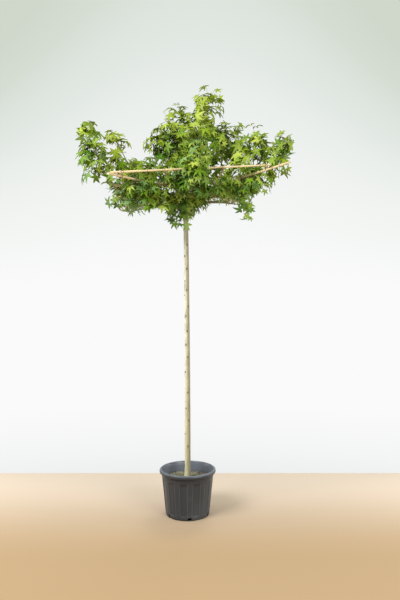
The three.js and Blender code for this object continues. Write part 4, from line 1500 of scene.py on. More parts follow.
# Each mass's longer shoots: they make the peaks, the ragged edges and what hangs below.
LONG_SHOOTS = {
    "roof_2": REAR_SHOOTS,
    "roof_3": REAR_SHOOTS,
    "roof_4": REAR_SHOOTS,
    "left_shoot": (
        (-0.75, 0, 0.6), (-0.5, -0.1, 0.75), (-0.05, 0, 0.8), (-0.5, 0, -0.3), (-0.5, 0, -0.8),
        (0.7, 0, -0.6), (0.45, 0.1, -0.6), (0, 0, -1.05), (0.2, 0, -0.8), (-0.95, -0.1, 0.45),
        (-0.85, 0, 0.1),
    ),
    "left_inner_shoot": (
        (-0.7, 0, 0.5), (-0.4, 0, 0.6), (0.1, -0.2, 0.25), (-0.1, 0.1, -0.95), (0.3, 0.2, -1.15),
        (-0.5, 0, -0.8), (-0.15, -0.2, -0.6), (0, 0, -0.75), (0.75, 0.3, -1.2), (-0.6, -0.1, 0.8),
    ),
    "spire_2": (
        (-0.95, -0.2, 0.85), (-0.25, -0.1, 1.2), (0.1, 0, 1), (-0.35, -0.1, 0.8), (-0.7, -0.1, 0.5),
        (0.1, -0.2, 0.65),
    ),
    "spire_3": (
        (-0.95, -0.1, 0.15), (-0.88, 0, 0.3), (-0.45, 0, 0.75), (-0.7, -0.1, 0.5), (-0.75, 0, -0.45),
        (-0.5, 0, -0.8), (-0.55, 0.1, -1.15), (-0.3, 0.1, -1.35), (-0.7, 0.2, -1.5), (-0.35, 0.2, -1.65),
        (-0.5, -0.1, -0.05), (-0.72, 0, -0.1),
    ),
    "spire_1": (
        (0.47, 0, 0.66), (-0.1, 0, 0.75), (-0.3, -0.2, 0.55), (0.2, -0.3, -0.3), (0.25, -0.2, -0.75),
        (0.5, 0, -0.6),
    ),
    "leader": (
        (0.4, 0, 0.78), (0.6, 0, 0.45), (0, 0, 0.85), (0.65, 0, 0), (0.1, -0.3, -0.7),
        (-0.15, -0.4, -0.75),
    ),
    "right_inner_shoot": (
        (-0.15, 0, 1.05), (0.3, 0, 0.6), (-0.75, -0.2, -0.35), (-0.95, 0, -0.6), (-0.8, 0, -0.05),
        (-0.5, -0.2, 0.3),
    ),
    "right_shoot": (
        (0, 0, 0.7), (0.35, 0, 0.35), (0.15, 0, -0.85), (-0.25, 0, -1.05), (-0.6, 0, -0.9),
        (0, -0.2, -0.5),
    ),
    "roof_8": (
        (-0.05, -0.2, -1.1), (0.05, -0.2, -1.65), (0.1, -0.1, -1.3), (0.88, -0.2, -0.05),
        (0.75, -0.2, -0.4), (0.95, -0.1, 0.25), (-0.8, 0.3, 0.1), (-1, 0.5, -0.1), (-0.9, 0.2, -0.35),
        (-0.6, -0.2, 0.3), (-0.45, 0, -0.6), (-0.75, 0, -0.55), (-1, 0.1, -0.5), (-0.6, -0.2, -0.35),
        (-0.9, -0.2, -0.25),
    ),
    "head_back": (
        (0.8, -0.5, 0.7), (1, -0.3, 0.8), (0.4, -0.9, 0.85), (0.15, -1.4, 0.05), (0.4, -1.5, 0.2),
        (0.7, -1.5, 0.4), (0, -1.6, 0.35), (0.55, -1.2, 0), (0.1, -1.6, -0.25), (0.45, -1.6, -0.1),
        (0.75, -1.6, 0.15),
    ),
    "head_front": ((-0.3, -0.2, -0.6), (-0.15, -0.3, -0.75), (-0.8, 0, -0.2), (0.3, -0.3, -0.5)),
    "roof_6": (
        (-0.65, 0, -0.85), (-0.4, 0.2, -0.95), (-0.1, 0, -1), (0.25, -0.2, -0.95), (0.5, 0, -0.9),
        (0.9, 0.1, -0.85), (0.45, 0.3, 1.1), (0.1, 0, 0.85), (0.4, 0, 0.75), (-0.1, 0.1, 0.8),
        (0.25, 0.1, 0.6), (-0.3, -0.3, -0.3), (0.2, -0.3, -0.35), (0.6, -0.2, -0.3), (0.9, 0, -0.4),
        (-0.6, -0.2, -0.2),
    ),
    "roof_1": (
        (-0.7, -0.3, -0.2), (-0.95, -0.3, 0), (-0.8, -0.6, 0.1), (-1.1, -0.5, -0.1), (0.3, 0.5, 0.8),
        (0.6, 0.2, 0.7), (-0.3, 0.6, 0.9), (0, 0.9, 0.7),
    ),
    "roof_5": (
        (-0.3, -0.3, 1), (0.5, -0.5, 1.25), (-0.3, 0.5, 0.8), (-0.6, 0.2, 0.6), (0.3, 0.6, 0.9),
        (0, 0.9, 0.7),
    ),
    "roof_7": (
        (-1, 0.3, 0.8), (-0.35, -0.55, 0.25), (0.2, -0.55, 0.3), (-0.1, -0.5, 0.1), (-0.9, 0.2, 0.2),
        (-0.6, 0.3, 0.6), (-0.2, -0.6, 0.4), (0.05, -0.6, 0.45), (-0.8, 0, -0.2), (-0.5, 0.2, -0.1),
        (-0.85, -0.1, 0.1), (-0.7, -0.2, 0.35), (0.1, -0.75, 0.75), (-0.15, -0.7, 0.7), (0.3, -0.75, 0.6),
        (0, -0.8, 0.35), (-0.6, 0.5, 0.3), (-0.65, 0.6, 0), (-0.45, 0.6, 0.35), (0.6, 0, -0.5),
        (0.85, 0, -0.45), (0.7, -0.2, -0.2), (0.95, -0.2, -0.15),
    ),
}  # fmt: skip
# Ellipsoids in which no leaf stands, as middles and half sizes: the sky between shoots, and canes in sight.
OPENINGS = (
    ((-0.44, -0.29, 3.11), (0.1, 0.3, 0.08)), ((-0.687, -0.37, 3.205), (0.034, 0.35, 0.09)),
    ((-0.597, -0.29, 3.16), (0.056, 0.3, 0.055)), ((-0.039, 0.2, 3.518), (0.045, 0.3, 0.05)),
    ((0.03, 0.1, 3.68), (0.045, 0.35, 0.06)), ((0.253, 0, 3.55), (0.07, 0.35, 0.055)),
    ((0.885, -0.39, 3.085), (0.05, 0.3, 0.08)), ((0.2, 0, 2.69), (0.105, 0.45, 0.06)),
    ((-0.696, -0.3, 2.8), (0.045, 0.4, 0.07)), ((-0.497, -0.29, 3.097), (0.058, 0.3, 0.062)),
    ((0.564, -0.4, 2.715), (0.035, 0.3, 0.035)), ((-0.42, -0.3, 2.66), (0.04, 0.4, 0.04)),
    ((0.325, -0.1, 3.115), (0.03, 0.5, 0.035)), ((-0.29, 0.1, 3.6), (0.07, 0.4, 0.06)),
    ((0.493, 0, 3.373), (0.035, 0.4, 0.04)), ((-0.225, -0.1, 2.65), (0.06, 0.3, 0.06)),
    ((-0.535, -0.4, 2.8), (0.022, 0.35, 0.1)), ((-0.415, -0.29, 3.218), (0.05, 0.3, 0.075)),
    ((-0.623, -0.4, 2.668), (0.035, 0.4, 0.05)), ((0.158, 0, 2.722), (0.058, 0.4, 0.048)),
    ((-0.775, -0.4, 2.905), (0.018, 0.35, 0.035)), ((-0.69, -0.4, 2.86), (0.03, 0.35, 0.045)),
    ((-0.663, -0.4, 2.716), (0.035, 0.4, 0.05)), ((-0.392, -0.2, 2.662), (0.055, 0.5, 0.042)),
    ((-0.248, -0.2, 2.689), (0.045, 0.5, 0.028)), ((-0.419, 0.35, 2.822), (0.08, 0.3, 0.048)),
    ((-0.396, 0.12, 2.772), (0.075, 0.2, 0.045)), ((0.465, -0.46, 2.865), (0.075, 0.13, 0.034)),
    ((0.395, -0.42, 2.845), (0.045, 0.13, 0.034)), ((0.275, -0.45, 2.83), (0.036, 0.13, 0.06)),
)  # fmt: skip


@dataclass
class Layout:
    """Where the masses are: a flat roof round the frame, upright shoots, and edge and head foliage.

    The roof's corner masses lie roof_corner across and back from the frame's centre, and those between them
    roof_side from it. Their boughs leave the trunk at the heights of the forks and pass the frame at
    roof_underway. The lifts are the heights of the masses' middles over the frame, and the halves their half
    sizes. The masses' seeds start at first_seed and go up by seed_step.
    """

    trunk: Trunk
    canes: CaneFrame
    roof_corner: float = 0.43
    roof_side: float = 0.5
    roof_underway: float = -0.088
    corner_fork: float = 2.680
    side_fork: float = 2.730
    front_lift: float = -0.062
    front_half: Place = (0.23, 0.23, 0.188)
    rear_lift: float = -0.06
    rear_half: Place = (0.23, 0.23, 0.142)
    first_seed: int = 61
    seed_step: int = 17

    def _roof(self) -> list[Mass]:
        """Returns the four corners and the middles of the four sides."""
        found = []
        for i in range(8):
            turn = i * math.pi / 4
            corner = i % 2 == 1
            reach = self.roof_corner * math.sqrt(2) if corner else self.roof_side
            across, back = reach * math.cos(turn), reach * math.sin(turn)
            rear = back > 0.001
            middle = self.canes.point(across, back, self.rear_lift if rear else self.front_lift)
            half = np.array(self.rear_half if rear else self.front_half)
            via = [(0.45 * across, 0.45 * back, self.roof_underway)]
            height = self.corner_fork if corner else self.side_fork
            name = f"roof_foliage_{i + 1}"
            # Painted light: roof masses towards the right, where more light falls, are dealt more young,
            # lighter leaves.
            youth = 0.1 + 0.5 * max(0.0, math.cos(turn))
            found.append(Mass(name, middle, half, height, via, 0.009, 0.7, 9, youth))
        return found

    def _spires(self) -> list[Mass]:
        """Returns the upright shoots round the leader, and the leader."""
        plans = [
            ((0.34, 0.02, 3.3), (0.215, 0.2, 0.23), 2.888, 10),
            ((-0.05, 0.2, 3.455), (0.19, 0.19, 0.22), 2.925, 10),
            ((-0.15, 0.01, 3.27), (0.225, 0.21, 0.23), 2.9, 10),
            ((0.09, -0.23, 3.2), (0.225, 0.21, 0.24), 2.908, 10),
        ]
        found = []
        for i, (middle, half, leaves_at, twigs) in enumerate(plans):
            via = [(0.5 * middle[0], 0.5 * middle[1], 0.13)]
            name = f"spire_foliage_{i + 1}"
            space = np.array(middle), np.array(half)
            found.append(Mass(name, *space, leaves_at, via, 0.009, 0.6, twigs, 0.42, airy=0.6))
        space = np.array([0.17, 0.02, 3.61]), np.array([0.17, 0.17, 0.215])
        up = [(0.07, 0.01, 0.3)]
        found.append(Mass("leader_foliage", *space, self.trunk.tip, up, 0.01, 0.6, 10, 0.9, airy=1.0))
        return found

    @staticmethod
    def _edges() -> list[Mass]:
        """Returns the shoots that rise at the edges of the frame."""
        ups = {"left_inner": (-0.085, 0.0), "right_inner": (-0.08, 0.01)}
        found = []
        for name, (middle, half, height, under, gate, twigs) in EDGE_SHOOTS.items():
            low, high = ups.get(name, (-0.1, -0.06))
            via = [(*under, low), (*gate, high)]
            space = np.array(middle), np.array(half)
            youth = 0.85 if name == "left_inner" else 0.35
            whole = f"{name}_shoot_foliage"
            found.append(Mass(whole, *space, height, via, 0.009, 0.6, twigs, youth, airy=0.8))
        return found

    @staticmethod
    def _heads() -> list[Mass]:
        """Returns the foliage round the head of the trunk."""
        front = np.array([-0.085, -0.145, 2.7]), np.array([0.17, 0.16, 0.19])
        behind = np.array([0.01, 0.15, 2.77]), np.array([0.19, 0.16, 0.15])
        return [
            Mass("head_foliage_front", *front, 2.64, [], 0.006, 0.85, 7, 0.05, on_trunk=True),
            Mass("head_foliage_back", *behind, 2.645, [], 0.006, 0.85, 6, 0.05, on_trunk=True),
        ]

    def masses(self) -> list[Mass]:
        """Returns every mass with its parting planes, its curve and where the curve enters it."""
        masses = self._roof() + self._spires() + self._edges() + self._heads()
        for i, mass in enumerate(masses):
            mass.seed = self.first_seed + self.seed_step * i
            mass.shoots = LONG_SHOOTS.get(mass.name.replace("_foliage", ""), ())
            for other in masses:
                if other is mass:
                    continue
                way = other.middle - mass.middle
                normal = unit(way)
                own = mass.extent(normal)
                share = own / (own + other.extent(normal))
                mass.planes.append((normal, share * float(np.linalg.norm(way))))
        for mass in masses:
            start = self.trunk.axis(mass.leaves_at)
            way = [self.canes.point(*place) for place in mass.via]
            onward = unit(mass.middle - (way[-1] if way else start))
            end = mass.middle + onward * 0.4 * mass.extent(onward)
            mass.curve = catmull_rom(np.array([start, *way, mass.middle, end]))
            outside = np.nonzero(~mass.holds(mass.curve, 0.012))[0]
            mass.entry = 0 if mass.on_trunk or not len(outside) else int(outside[-1]) + 1
        return masses


@dataclass
class Boughs:
    """The limbs from the trunk to the masses, with bark ripples and swollen bases."""

    trunk: Trunk
    masses: list[Mass]
    steps: int = 60
    sides: int = 12
    base_swell: float = 0.25
    base_half: float = 0.02
    relief: float = 0.05
    ripple_size: float = 0.04
    band_apart: float = 0.045

    def surface(self) -> Surface:
        """Returns rings along the boughs: radius = taper x (1 + base swelling) x (1 + ripple + bands)."""
        found = []
        for i, mass in enumerate(self.masses):
            if not mass.entry:
                continue
            rows = np.linspace(0, mass.entry, self.steps).astype(int)
            share = rows / (len(mass.curve) - 1)
            run = share * lengths(np.diff(mass.curve, axis=0)).sum()
            base = np.exp(-(((run - self.base_half) / self.base_half) ** 2))
            radius = mass.wood_radius(share) * (1 + self.base_swell * base)
            turn = np.arange(self.sides) * 2 * math.pi / self.sides
            ways = np.broadcast_arrays(0.03 * np.cos(turn), 0.03 * np.sin(turn), 0.4 * run[:, None])
            relief = self.relief * ripple(np.stack(ways, axis=-1), self.ripple_size, 60 + i, 2)
            bands = self.relief * np.sin(run * 2 * math.pi / self.band_apart) ** 8
            thick = radius[:, None] * (1 + relief + bands[:, None])
            found.append(tubes(mass.curve[rows][None], thick[None], self.sides))
        return bare(joined(found))

    def build(self) -> None:
        """Makes the boughs."""
        bark = BarkFinish(
            "bough_bark",
            light=(0.17, 0.14, 0.065),
            dark=(0.11, 0.09, 0.04),
            scar=(0.05, 0.04, 0.03),
            olive=(0.2, 0.2, 0.08),
        )
        nodes = [mass.name.replace("foliage", "bough") for mass in self.masses if mass.entry]
        piece("boughs", self.surface(), bark.make(), nodes)


@dataclass
class StarLeaf:
    """The leaf's pattern: five pointed lobes round the meeting of the veins, each folded along its vein.

    Sizes are shares of the middle lobe's length. A belly is a place along a lobe and its half width there.
    The gaps between lobes stop at sinus from the veins' meeting, which stands off the stalk's end by stalk.
    """

    lobe_turns_deg: tuple[float, ...] = (-112, -55, 0, 55, 112)
    lobe_reaches: tuple[float, ...] = (0.68, 0.94, 1.0, 0.94, 0.68)
    sinus: float = 0.36
    bellies: tuple[tuple[float, float], ...] = ((0.5, 0.165), (0.78, 0.095))
    stalk: float = 0.1

    def pattern(self, curl: float, fold: float, skew: float) -> Surface:
        """Lays the lobes out flat, then bends them: z = fold at the margins, less curl times radius squared.

        Args:
            curl: How far the tips bend down.
            fold: How far the margins rise above the veins.
            skew: How far the side lobes swing to one side, in radians.

        Returns:
            The leaf, its foot at the origin, its midrib along X and its face up, with "vein" at 1 on veins.
        """
        turns = np.radians(self.lobe_turns_deg) + skew
        reach = np.array(self.lobe_reaches)[:, None]
        ways = circle(turns)
        square = np.stack([-ways[:, 1], ways[:, 0]], axis=-1)
        sides = [
            ways * reach * at + hand * square * half * (0.5 + 0.5 * reach)
            for hand in (-1, 1)
            for at, half in self.bellies
        ]
        bends = np.concatenate([[turns[0] - 0.6], (turns[1:] + turns[:-1]) / 2, [turns[-1] + 0.6]])
        depths = np.array([0.2, *[self.sinus] * 4, 0.2])[:, None]
        sinuses = circle(bends) * depths
        rows = [[[0.0, 0.0]], ways * reach, ways * 0.5 * reach, *sides, sinuses, [[-0.04, 0.0]]]
        flat = np.concatenate(rows)
        margin = (np.arange(len(flat)) > 10).astype(float)
        height = fold * margin - curl * np.sum(flat**2, axis=1)
        lobe = np.arange(5)
        tip, mid, low_r, high_r, low_l, high_l, dip = (start + lobe for start in (1, 6, 11, 16, 21, 26, 31))
        hub, heel = np.zeros(5, int), 37
        fans = [
            (hub, dip, mid), (mid, dip, low_r), (mid, low_r, high_r), (mid, high_r, tip),
            (mid, tip, high_l), (mid, high_l, low_l), (mid, low_l, dip + 1), (hub, mid, dip + 1),
        ]  # fmt: skip
        triangles = [np.stack(fan, axis=-1) for fan in fans] + [np.array([[0, heel, 31], [0, 36, heel]])]
        points = np.column_stack([flat[:, 0] + self.stalk, flat[:, 1], height])
        return Surface(points, [np.concatenate(triangles)], {"vein": 1 - margin}, 0.5 + 0.4 * flat)


@dataclass
class Crown:
    """All twigs and leaves: the solids' stems and twigs, carried on by the same rule to a full head.

    Attributes:
        finer: How many finer twigs a mass grows for each twig of its solid.
        along_bough: How many grow from each bough before it enters its mass, and bough_twigs how long.
        internodes: How far back from a twig's tip its leaves stand.
        leaf_bends: Curl, fold and skew of each shape of leaf.
        sunward: What turns a leaf's face to the light, with airy_sunward added where a mass is airy.
        plain_reach: The shares of the way to a mass's skin between which the solid's twigs end.
        finer_reach: The same for the finer twigs.
        bare_foot: The share of a twig, from its foot, that has no leaves.
        hang_front: The crown's underside at the frame's front, over the frame, and hang_back at its back.
        hang_left: How much lower it lies on the left.
        left_edge: Nothing hangs to the left of it below left_under. It draws back by left_slope.
        right_slope: How fast the underside rises to the right of the canes.
        cane_sight: The heights about the front cane at which nothing stands before it.
        cane_spray: Half the width of the sprays that do, at its middle.
        tone_ages: The ages at which a leaf's tone changes.
        cool_age: The age of spray from which the oldest leaves turn cool.
        over: How far leaves may pass the solids' box.
    """

    trunk: Trunk
    canes: CaneFrame
    masses: list[Mass]
    leaf: StarLeaf = field(default_factory=StarLeaf)
    finer: float = 1.2
    along_bough: int = 6
    internodes: tuple[float, ...] = (0.0, 0.012, 0.034, 0.064, 0.1, 0.14, 0.186)
    leaf_sizes: tuple[float, float] = (0.046, 0.078)
    leaf_bends: tuple[Place, ...] = ((0.2, 0.05, 0), (0.34, 0.08, 0.08), (0.1, 0.04, -0.08), (0.46, 0.1, 0))
    sunward: Place = (0.0, -0.35, 0.3)
    airy_sunward: Place = (0.0, -0.12, -0.25)
    twig_radius: float = 0.0024
    twig_steps: int = 8
    fork_steps: int = 5
    fork_places: tuple[float, float] = (0.35, 0.65)
    fork_lengths: tuple[float, float] = (0.35, 0.6)
    bough_twigs: tuple[float, float] = (0.1, 0.19)
    bare_foot: float = 0.28
    plain_reach: tuple[float, float] = (0.85, 1.15)
    finer_reach: tuple[float, float] = (0.45, 1.12)
    hang_front: float = -0.25
    hang_back: float = -0.01
    hang_left: float = 0.045
    left_edge: float = -0.585
    left_under: float = -0.09
    left_slope: float = 0.26
    right_slope: float = 0.83
    cane_sight: tuple[float, float] = (-0.10, 0.03)
    cane_spray: float = 0.1
    tone_ages: tuple[float, ...] = (0.05, 0.3, 0.6)
    cool_age: float = 0.4
    over: float = 0.025

    def _tips(self, mass: Mass, count: int, seed: int, low: float, high: float) -> np.ndarray:
        """Spreads tips over a mass by the golden turn, a leaf's length inside its skin.

        Args:
            mass: The mass.
            count: How many tips.
            seed: Turns the spread and moves each tip a little.
            low: The least share of the way to the skin.
            high: The greatest.

        Returns:
            The tips, one row each.
        """
        stream = Stream(seed)
        i = np.arange(count)
        z = 1 - (2 * (i + 0.5)) / count
        flat = np.sqrt(1 - z * z)
        turn = i * GOLDEN_TURN + seed
        way = np.column_stack([circle(turn, flat), z])
        room = np.maximum(0.35, 1 - 0.075 * lengths(way / mass.half))
        moved = low + (high - low) * np.array([stream() for _ in range(count)])
        return mass.middle + way * mass.half * (room * moved)[:, None]

    @staticmethod
    def _roots(mass: Mass, tips: np.ndarray) -> np.ndarray:
        """Picks where on the stem each twig starts: behind the place nearest its tip.

        Args:
            mass: The mass.
            tips: Where the twigs end.

        Returns:
            Row numbers of the mass's curve.
        """
        last = len(mass.curve) - 1
        places = np.linspace(mass.entry, last, 25).astype(int)
        ways = lengths(mass.curve[places][None] - tips[:, None])
        nearest = np.argmin(ways, axis=1)
        length = lengths(np.diff(mass.curve, axis=0)).sum()
        back = 0.5 * ways[np.arange(len(tips)), nearest] / length
        low = mass.entry + 0.15 * (last - mass.entry)
        return np.maximum(low, places[nearest] - back * last).astype(int)

    @staticmethod
    def _arcs(start: np.ndarray, tips: np.ndarray, along: np.ndarray, steps: int) -> np.ndarray:
        """Leads a twig from each start to its tip on a parabola that sets off along its limb and then rises.

        Args:
            start: Where the twigs leave their limbs.
            tips: Where they end.
            along: Directions of the limbs there.
            steps: Points on each twig.

        Returns:
            The paths, shaped (twigs, steps, 3).
        """
        reach = lengths(tips - start)[:, None]
        knee = (start + tips) / 2 + reach * (0.12 * along - 0.02 * UP)
        t = np.linspace(0, 1, steps)[None, :, None]
        return start[:, None] * (1 - t) ** 2 + 2 * knee[:, None] * t * (1 - t) + tips[:, None] * t**2

    def _forks(self, paths: np.ndarray, chance: np.random.Generator) -> np.ndarray:
        """Grows a side twig from the middle of each twig: half as long, aslant and a little up.

        Args:
            paths: The twigs.
            chance: Turns them and varies their length.

        Returns:
            Their paths.
        """
        count, steps = paths.shape[:2]
        row = (steps * chance.uniform(*self.fork_places, count)).astype(int)
        start = paths[np.arange(count), row]
        axis = unit(paths[:, -1] - paths[:, 0])
        square = unit(np.cross(axis, unit(chance.normal(size=(count, 3)))))
        length = lengths(paths[:, -1] - paths[:, 0]) * chance.uniform(*self.fork_lengths, count)
        way = unit(0.65 * axis + 0.75 * square + 0.2 * UP)
        return self._arcs(start, start + way * length[:, None], axis, self.fork_steps)

    def _sprays(self, mass: Mass, chance: np.random.Generator) -> list[np.ndarray]:
        """Grows one mass: the solid's twigs, finer ones among them, some along the bough, and their forks.

        Args:
            mass: The mass.
            chance: Moves the finer twigs.

        Returns:
            Paths of the twigs and of the forks.
        """
        plain = self._tips(mass, mass.twigs, mass.seed, *self.plain_reach)
        count = round(mass.twigs * self.finer * (1 - 0.7 * mass.airy))
        finer = self._tips(mass, count, mass.seed + 7, *self.finer_reach)
        tips = np.concatenate([plain, finer])
        roots = self._roots(mass, tips)
        if mass.entry:
            count = self.along_bough
            rows = (mass.entry * np.linspace(0.42, 0.97, count)).astype(int)
            turn = np.arange(count) * GOLDEN_TURN + mass.seed
            tangent = unit(mass.curve[rows + 1] - mass.curve[rows])
            side = unit(np.cross(tangent, UP))
            lift = np.cross(side, tangent)
            way = side * np.cos(turn)[:, None] + lift * (0.55 * np.sin(turn)[:, None] + 0.1) + 0.5 * tangent
            length = chance.uniform(*self.bough_twigs, count)[:, None]
            tips = np.concatenate([tips, mass.curve[rows] + way * length])
            roots = np.concatenate([roots, rows])
        paths = self._led(mass, tips, roots)
        forks = self._forks(paths, chance)
        return [paths, forks[chance.random(len(forks)) > 0.65 * mass.airy]]

    def _led(self, mass: Mass, tips: np.ndarray, roots: np.ndarray) -> np.ndarray:
        """Returns twigs led to their tips from rows of a mass's curve, shaped (twigs, steps, 3)."""
        along = unit(mass.curve[np.minimum(roots + 3, len(mass.curve) - 1)] - mass.curve[roots - 3])
        return self._arcs(mass.curve[roots], tips, along, self.twig_steps)

    def _leaves(
        self, paths: np.ndarray, mass: int, chance: np.random.Generator, free: bool = False
    ) -> Leaves:
        """Stands leaves on twigs, back from the tip by the internodes and round by the golden turn.

        Args:
            paths: The twigs.
            mass: Number of their mass.
            chance: Starts the turn and gives each twig its age.
            free: Whether they may leave the crown's even underside.

        Returns:
            One row for each leaf: foot, the twig's axis, turn, share along it, number, age, mass and free.
        """
        count, steps = paths.shape[:2]
        length = lengths(np.diff(paths, axis=1)).sum(axis=1)[:, None]
        spread = 1 + 0.35 * self.masses[mass].airy
        share = 1 - spread * np.array(self.internodes)[None, :] / length
        base = np.floor(share * (steps - 1)).astype(int).clip(0, steps - 2)
        part = (share * (steps - 1) - base)[..., None]
        row = np.arange(count)[:, None]
        first, second = paths[row, base], paths[row, base + 1]
        number = np.broadcast_to(np.arange(len(self.internodes)), share.shape)
        turn = number * GOLDEN_TURN + chance.uniform(0, 6.28, (count, 1))
        age = np.broadcast_to(chance.normal(size=(count, 1)), share.shape)
        keep = share > self.bare_foot
        return {
            "foot": (first * (1 - part) + second * part)[keep],
            "axis": unit(second - first)[keep],
            "turn": turn[keep],
            "share": share[keep],
            "number": number[keep],
            "age": age[keep],
            "mass": np.full(int(keep.sum()), mass),
            "free": np.full(int(keep.sum()), free),
        }

    def grow(self) -> tuple[Surface, Leaves]:
        """Grows every mass, and returns its stems and twigs in one surface, and the leaves' places."""
        stems, groups, leaves = [], {self.twig_steps: [], self.fork_steps: []}, []
        for number, mass in enumerate(self.masses):
            chance = np.random.default_rng(mass.seed)
            rows = np.linspace(mass.entry, len(mass.curve) - 1, 12).astype(int)
            stem = mass.curve[rows]
            thick = mass.wood_radius(rows / (len(mass.curve) - 1))
            stems.append(tubes(stem[None], np.asarray(thick)[None], 8))
            leaves.append(self._leaves(stem[None], number, chance))
            for paths in self._sprays(mass, chance):
                outer = paths[:, 2:]
                sound = self._clear(outer.reshape(-1, 3)).reshape(len(paths), -1).all(axis=1)
                paths = paths[sound & (mass.on_trunk | ~self._too_low(outer).any(axis=1))]
                groups[paths.shape[1]].append(paths)
                leaves.append(self._leaves(paths, number, chance))
            if mass.shoots:
                tips = mass.middle + np.array(mass.shoots) * mass.half
                paths = self._led(mass, tips, self._roots(mass, tips))
                groups[paths.shape[1]].append(paths)
                leaves.append(self._leaves(paths, number, chance, True))
        for steps, thick in ((self.twig_steps, 1.0), (self.fork_steps, 0.6)):
            paths = np.concatenate(groups[steps])
            taper = np.linspace(thick, 0.45, steps) * self.twig_radius
            stems.append(tubes(paths, np.broadcast_to(taper, paths.shape[:2]), 5))
        return joined(stems), {name: np.concatenate([rows[name] for rows in leaves]) for name in leaves[0]}

    def _of(self, label: str, found: Leaves) -> np.ndarray:
        """Returns a value of each leaf's mass."""
        return np.array([getattr(mass, label) for mass in self.masses])[found["mass"]]

    def _attitudes(self, found: Leaves) -> Leaves:
        """Sets each leaf's stalk, midrib, face and size.

        The stalk leaves its twig at the golden turn, forwards and up, and sags. The face turns outwards and
        to the light, and the midrib goes on the way the stalk points, pulled down more where the mass droops.

        Args:
            found: The leaves' places.

        Returns:
            Stalk paths, midribs, faces and sizes.
        """
        chance = np.random.default_rng(38)
        count = len(found["foot"])
        droop = self._of("droop", found)
        axis = found["axis"]
        side = unit(np.cross(axis, UP + 0.013))
        other = np.cross(axis, side)
        turn = found["turn"][:, None]
        forward = (0.45 + 0.9 * (found["number"] == 0))[:, None]
        way = unit((side * np.cos(turn) + other * np.sin(turn)) * 0.8 + axis * forward + 0.3 * UP)
        small = np.where(found["number"] < 2, 0.8, 1.0)
        airy = self._of("airy", found)
        size = chance.uniform(*self.leaf_sizes, count) * small * (0.92 + 0.36 * airy)
        length = (size * chance.uniform(0.45, 0.9, count) * np.where(found["number"] < 2, 0.55, 1.0))[:, None]
        sag = (0.12 + 0.4 * droop * chance.random(count))[:, None]
        end = found["foot"] + (way - UP * sag) * length
        bend = found["foot"] + way * length * 0.55
        stalks = np.stack([found["foot"], bend, end], axis=1)
        hearts = self._of("middle", found) - [0, 0, 0.15]
        outward = unit(found["foot"] - hearts)
        towards = np.array(self.sunward) + airy[:, None] * self.airy_sunward
        face = unit(0.5 * outward + 0.3 * way + towards + 0.42 * chance.normal(size=(count, 3)))
        nod = (0.1 + 0.9 * droop * chance.random(count))[:, None]
        lead = way - UP * nod + 0.35 * chance.normal(size=(count, 3))
        midrib = unit(lead - face * np.sum(lead * face, axis=1, keepdims=True))
        return {"stalk": stalks, "midrib": midrib, "face": face, "size": size}

    def _placed(self, pose: Leaves, pattern: np.ndarray) -> np.ndarray:
        """Stands a leaf pattern at each pose: point = stalk's end + size (x midrib + y across + z face).

        Args:
            pose: The leaves' poses.
            pattern: The pattern's points.

        Returns:
            The points, shaped (leaves, points, 3).
        """
        across = np.cross(pose["face"], pose["midrib"])
        frame_of = np.stack([pose["midrib"], across, pose["face"]], axis=1)
        size = pose["size"][:, None, None]
        return pose["stalk"][:, -1][:, None] + np.einsum("pk,nkc->npc", pattern, frame_of) * size

    def _clear(self, points: np.ndarray, margin: float = 0.004) -> np.ndarray:
        """Says which points keep clear of the canes and the trunk.

        Args:
            points: The points.
            margin: The room to leave.

        Returns:
            True for each point that is clear.
        """
        clear = np.ones(len(points), bool)
        for path, radius in self.canes.paths(7).values():
            for a, b, thick in zip(path[:-1], path[1:], radius):
                way = b - a
                share = np.clip((points - a) @ way / (way @ way), 0, 1)
                clear &= lengths(points - a - share[:, None] * way) > thick + margin
        heights = np.clip(points[:, 2], self.trunk.foot, self.trunk.tip)
        reach = self.trunk.radius(heights) + margin
        return clear & (lengths(points - self.trunk.axis(heights)) > reach)

    def _too_low(self, points: np.ndarray) -> np.ndarray:
        """Says which points lie below the crown's underside.

        The underside is a plane in the frame that rises from front to back. It lies lower on the left, and
        slopes up to the right beyond the canes. To their left nothing hangs.

        Args:
            points: The points, along the last axis.

        Returns:
            True for each point below it.
        """
        across, back, up = np.moveaxis(self.canes.local(points), -1, 0)
        share = (back / self.canes.half + 1) / 2
        lowest = self.hang_front + (self.hang_back - self.hang_front) * share
        lowest = lowest + self.right_slope * np.clip(across - self.canes.half, 0, None)
        lowest = lowest - self.hang_left * smoothstep(0.0, 0.2, -across)
        beside = (up < self.left_under) & (across < self.left_edge - self.left_slope * (up - self.left_under))
        return (up < lowest) | beside

    def _fits(self, points: np.ndarray, found: Leaves) -> np.ndarray:
        """Says which leaves keep to the crown's reach and underside, clear of the wood and the openings.

        The underside binds all but the head and the free shoots. The front cane stays in sight but for the
        sprays at its middle.

        Args:
            points: The leaves' points, shaped (leaves, points, 3).
            found: The leaves' places.

        Returns:
            True for each leaf that fits.
        """
        flat = points.reshape(-1, 3)
        low, high = np.array(CAD_BOX[0]) - self.over, np.array(CAD_BOX[1]) + self.over
        sound = ((flat > low) & (flat < high)).all(axis=1) & self._clear(flat)
        sound = sound.reshape(len(points), -1).all(axis=1)
        head = self._of("on_trunk", found)
        local = self.canes.local(points)
        front = (local[..., 1] < -self.canes.half + 0.01).any(axis=1)
        under, above = self.cane_sight
        level = ((local[..., 2] > under) & (local[..., 2] < above)).any(axis=1)
        middle = np.abs(local[:, 0, 0]) < self.cane_spray
        low_one = self._too_low(points).any(axis=1) & ~head
        middles, halves = np.moveaxis(np.array(OPENINGS), 1, 0)
        heart = points.mean(axis=1)[:, None]
        open_sky = (lengths((heart - middles) / halves) < 1).any(axis=1)
        return sound & (~low_one | found["free"]) & ~open_sky & ~(front & level & ~middle)

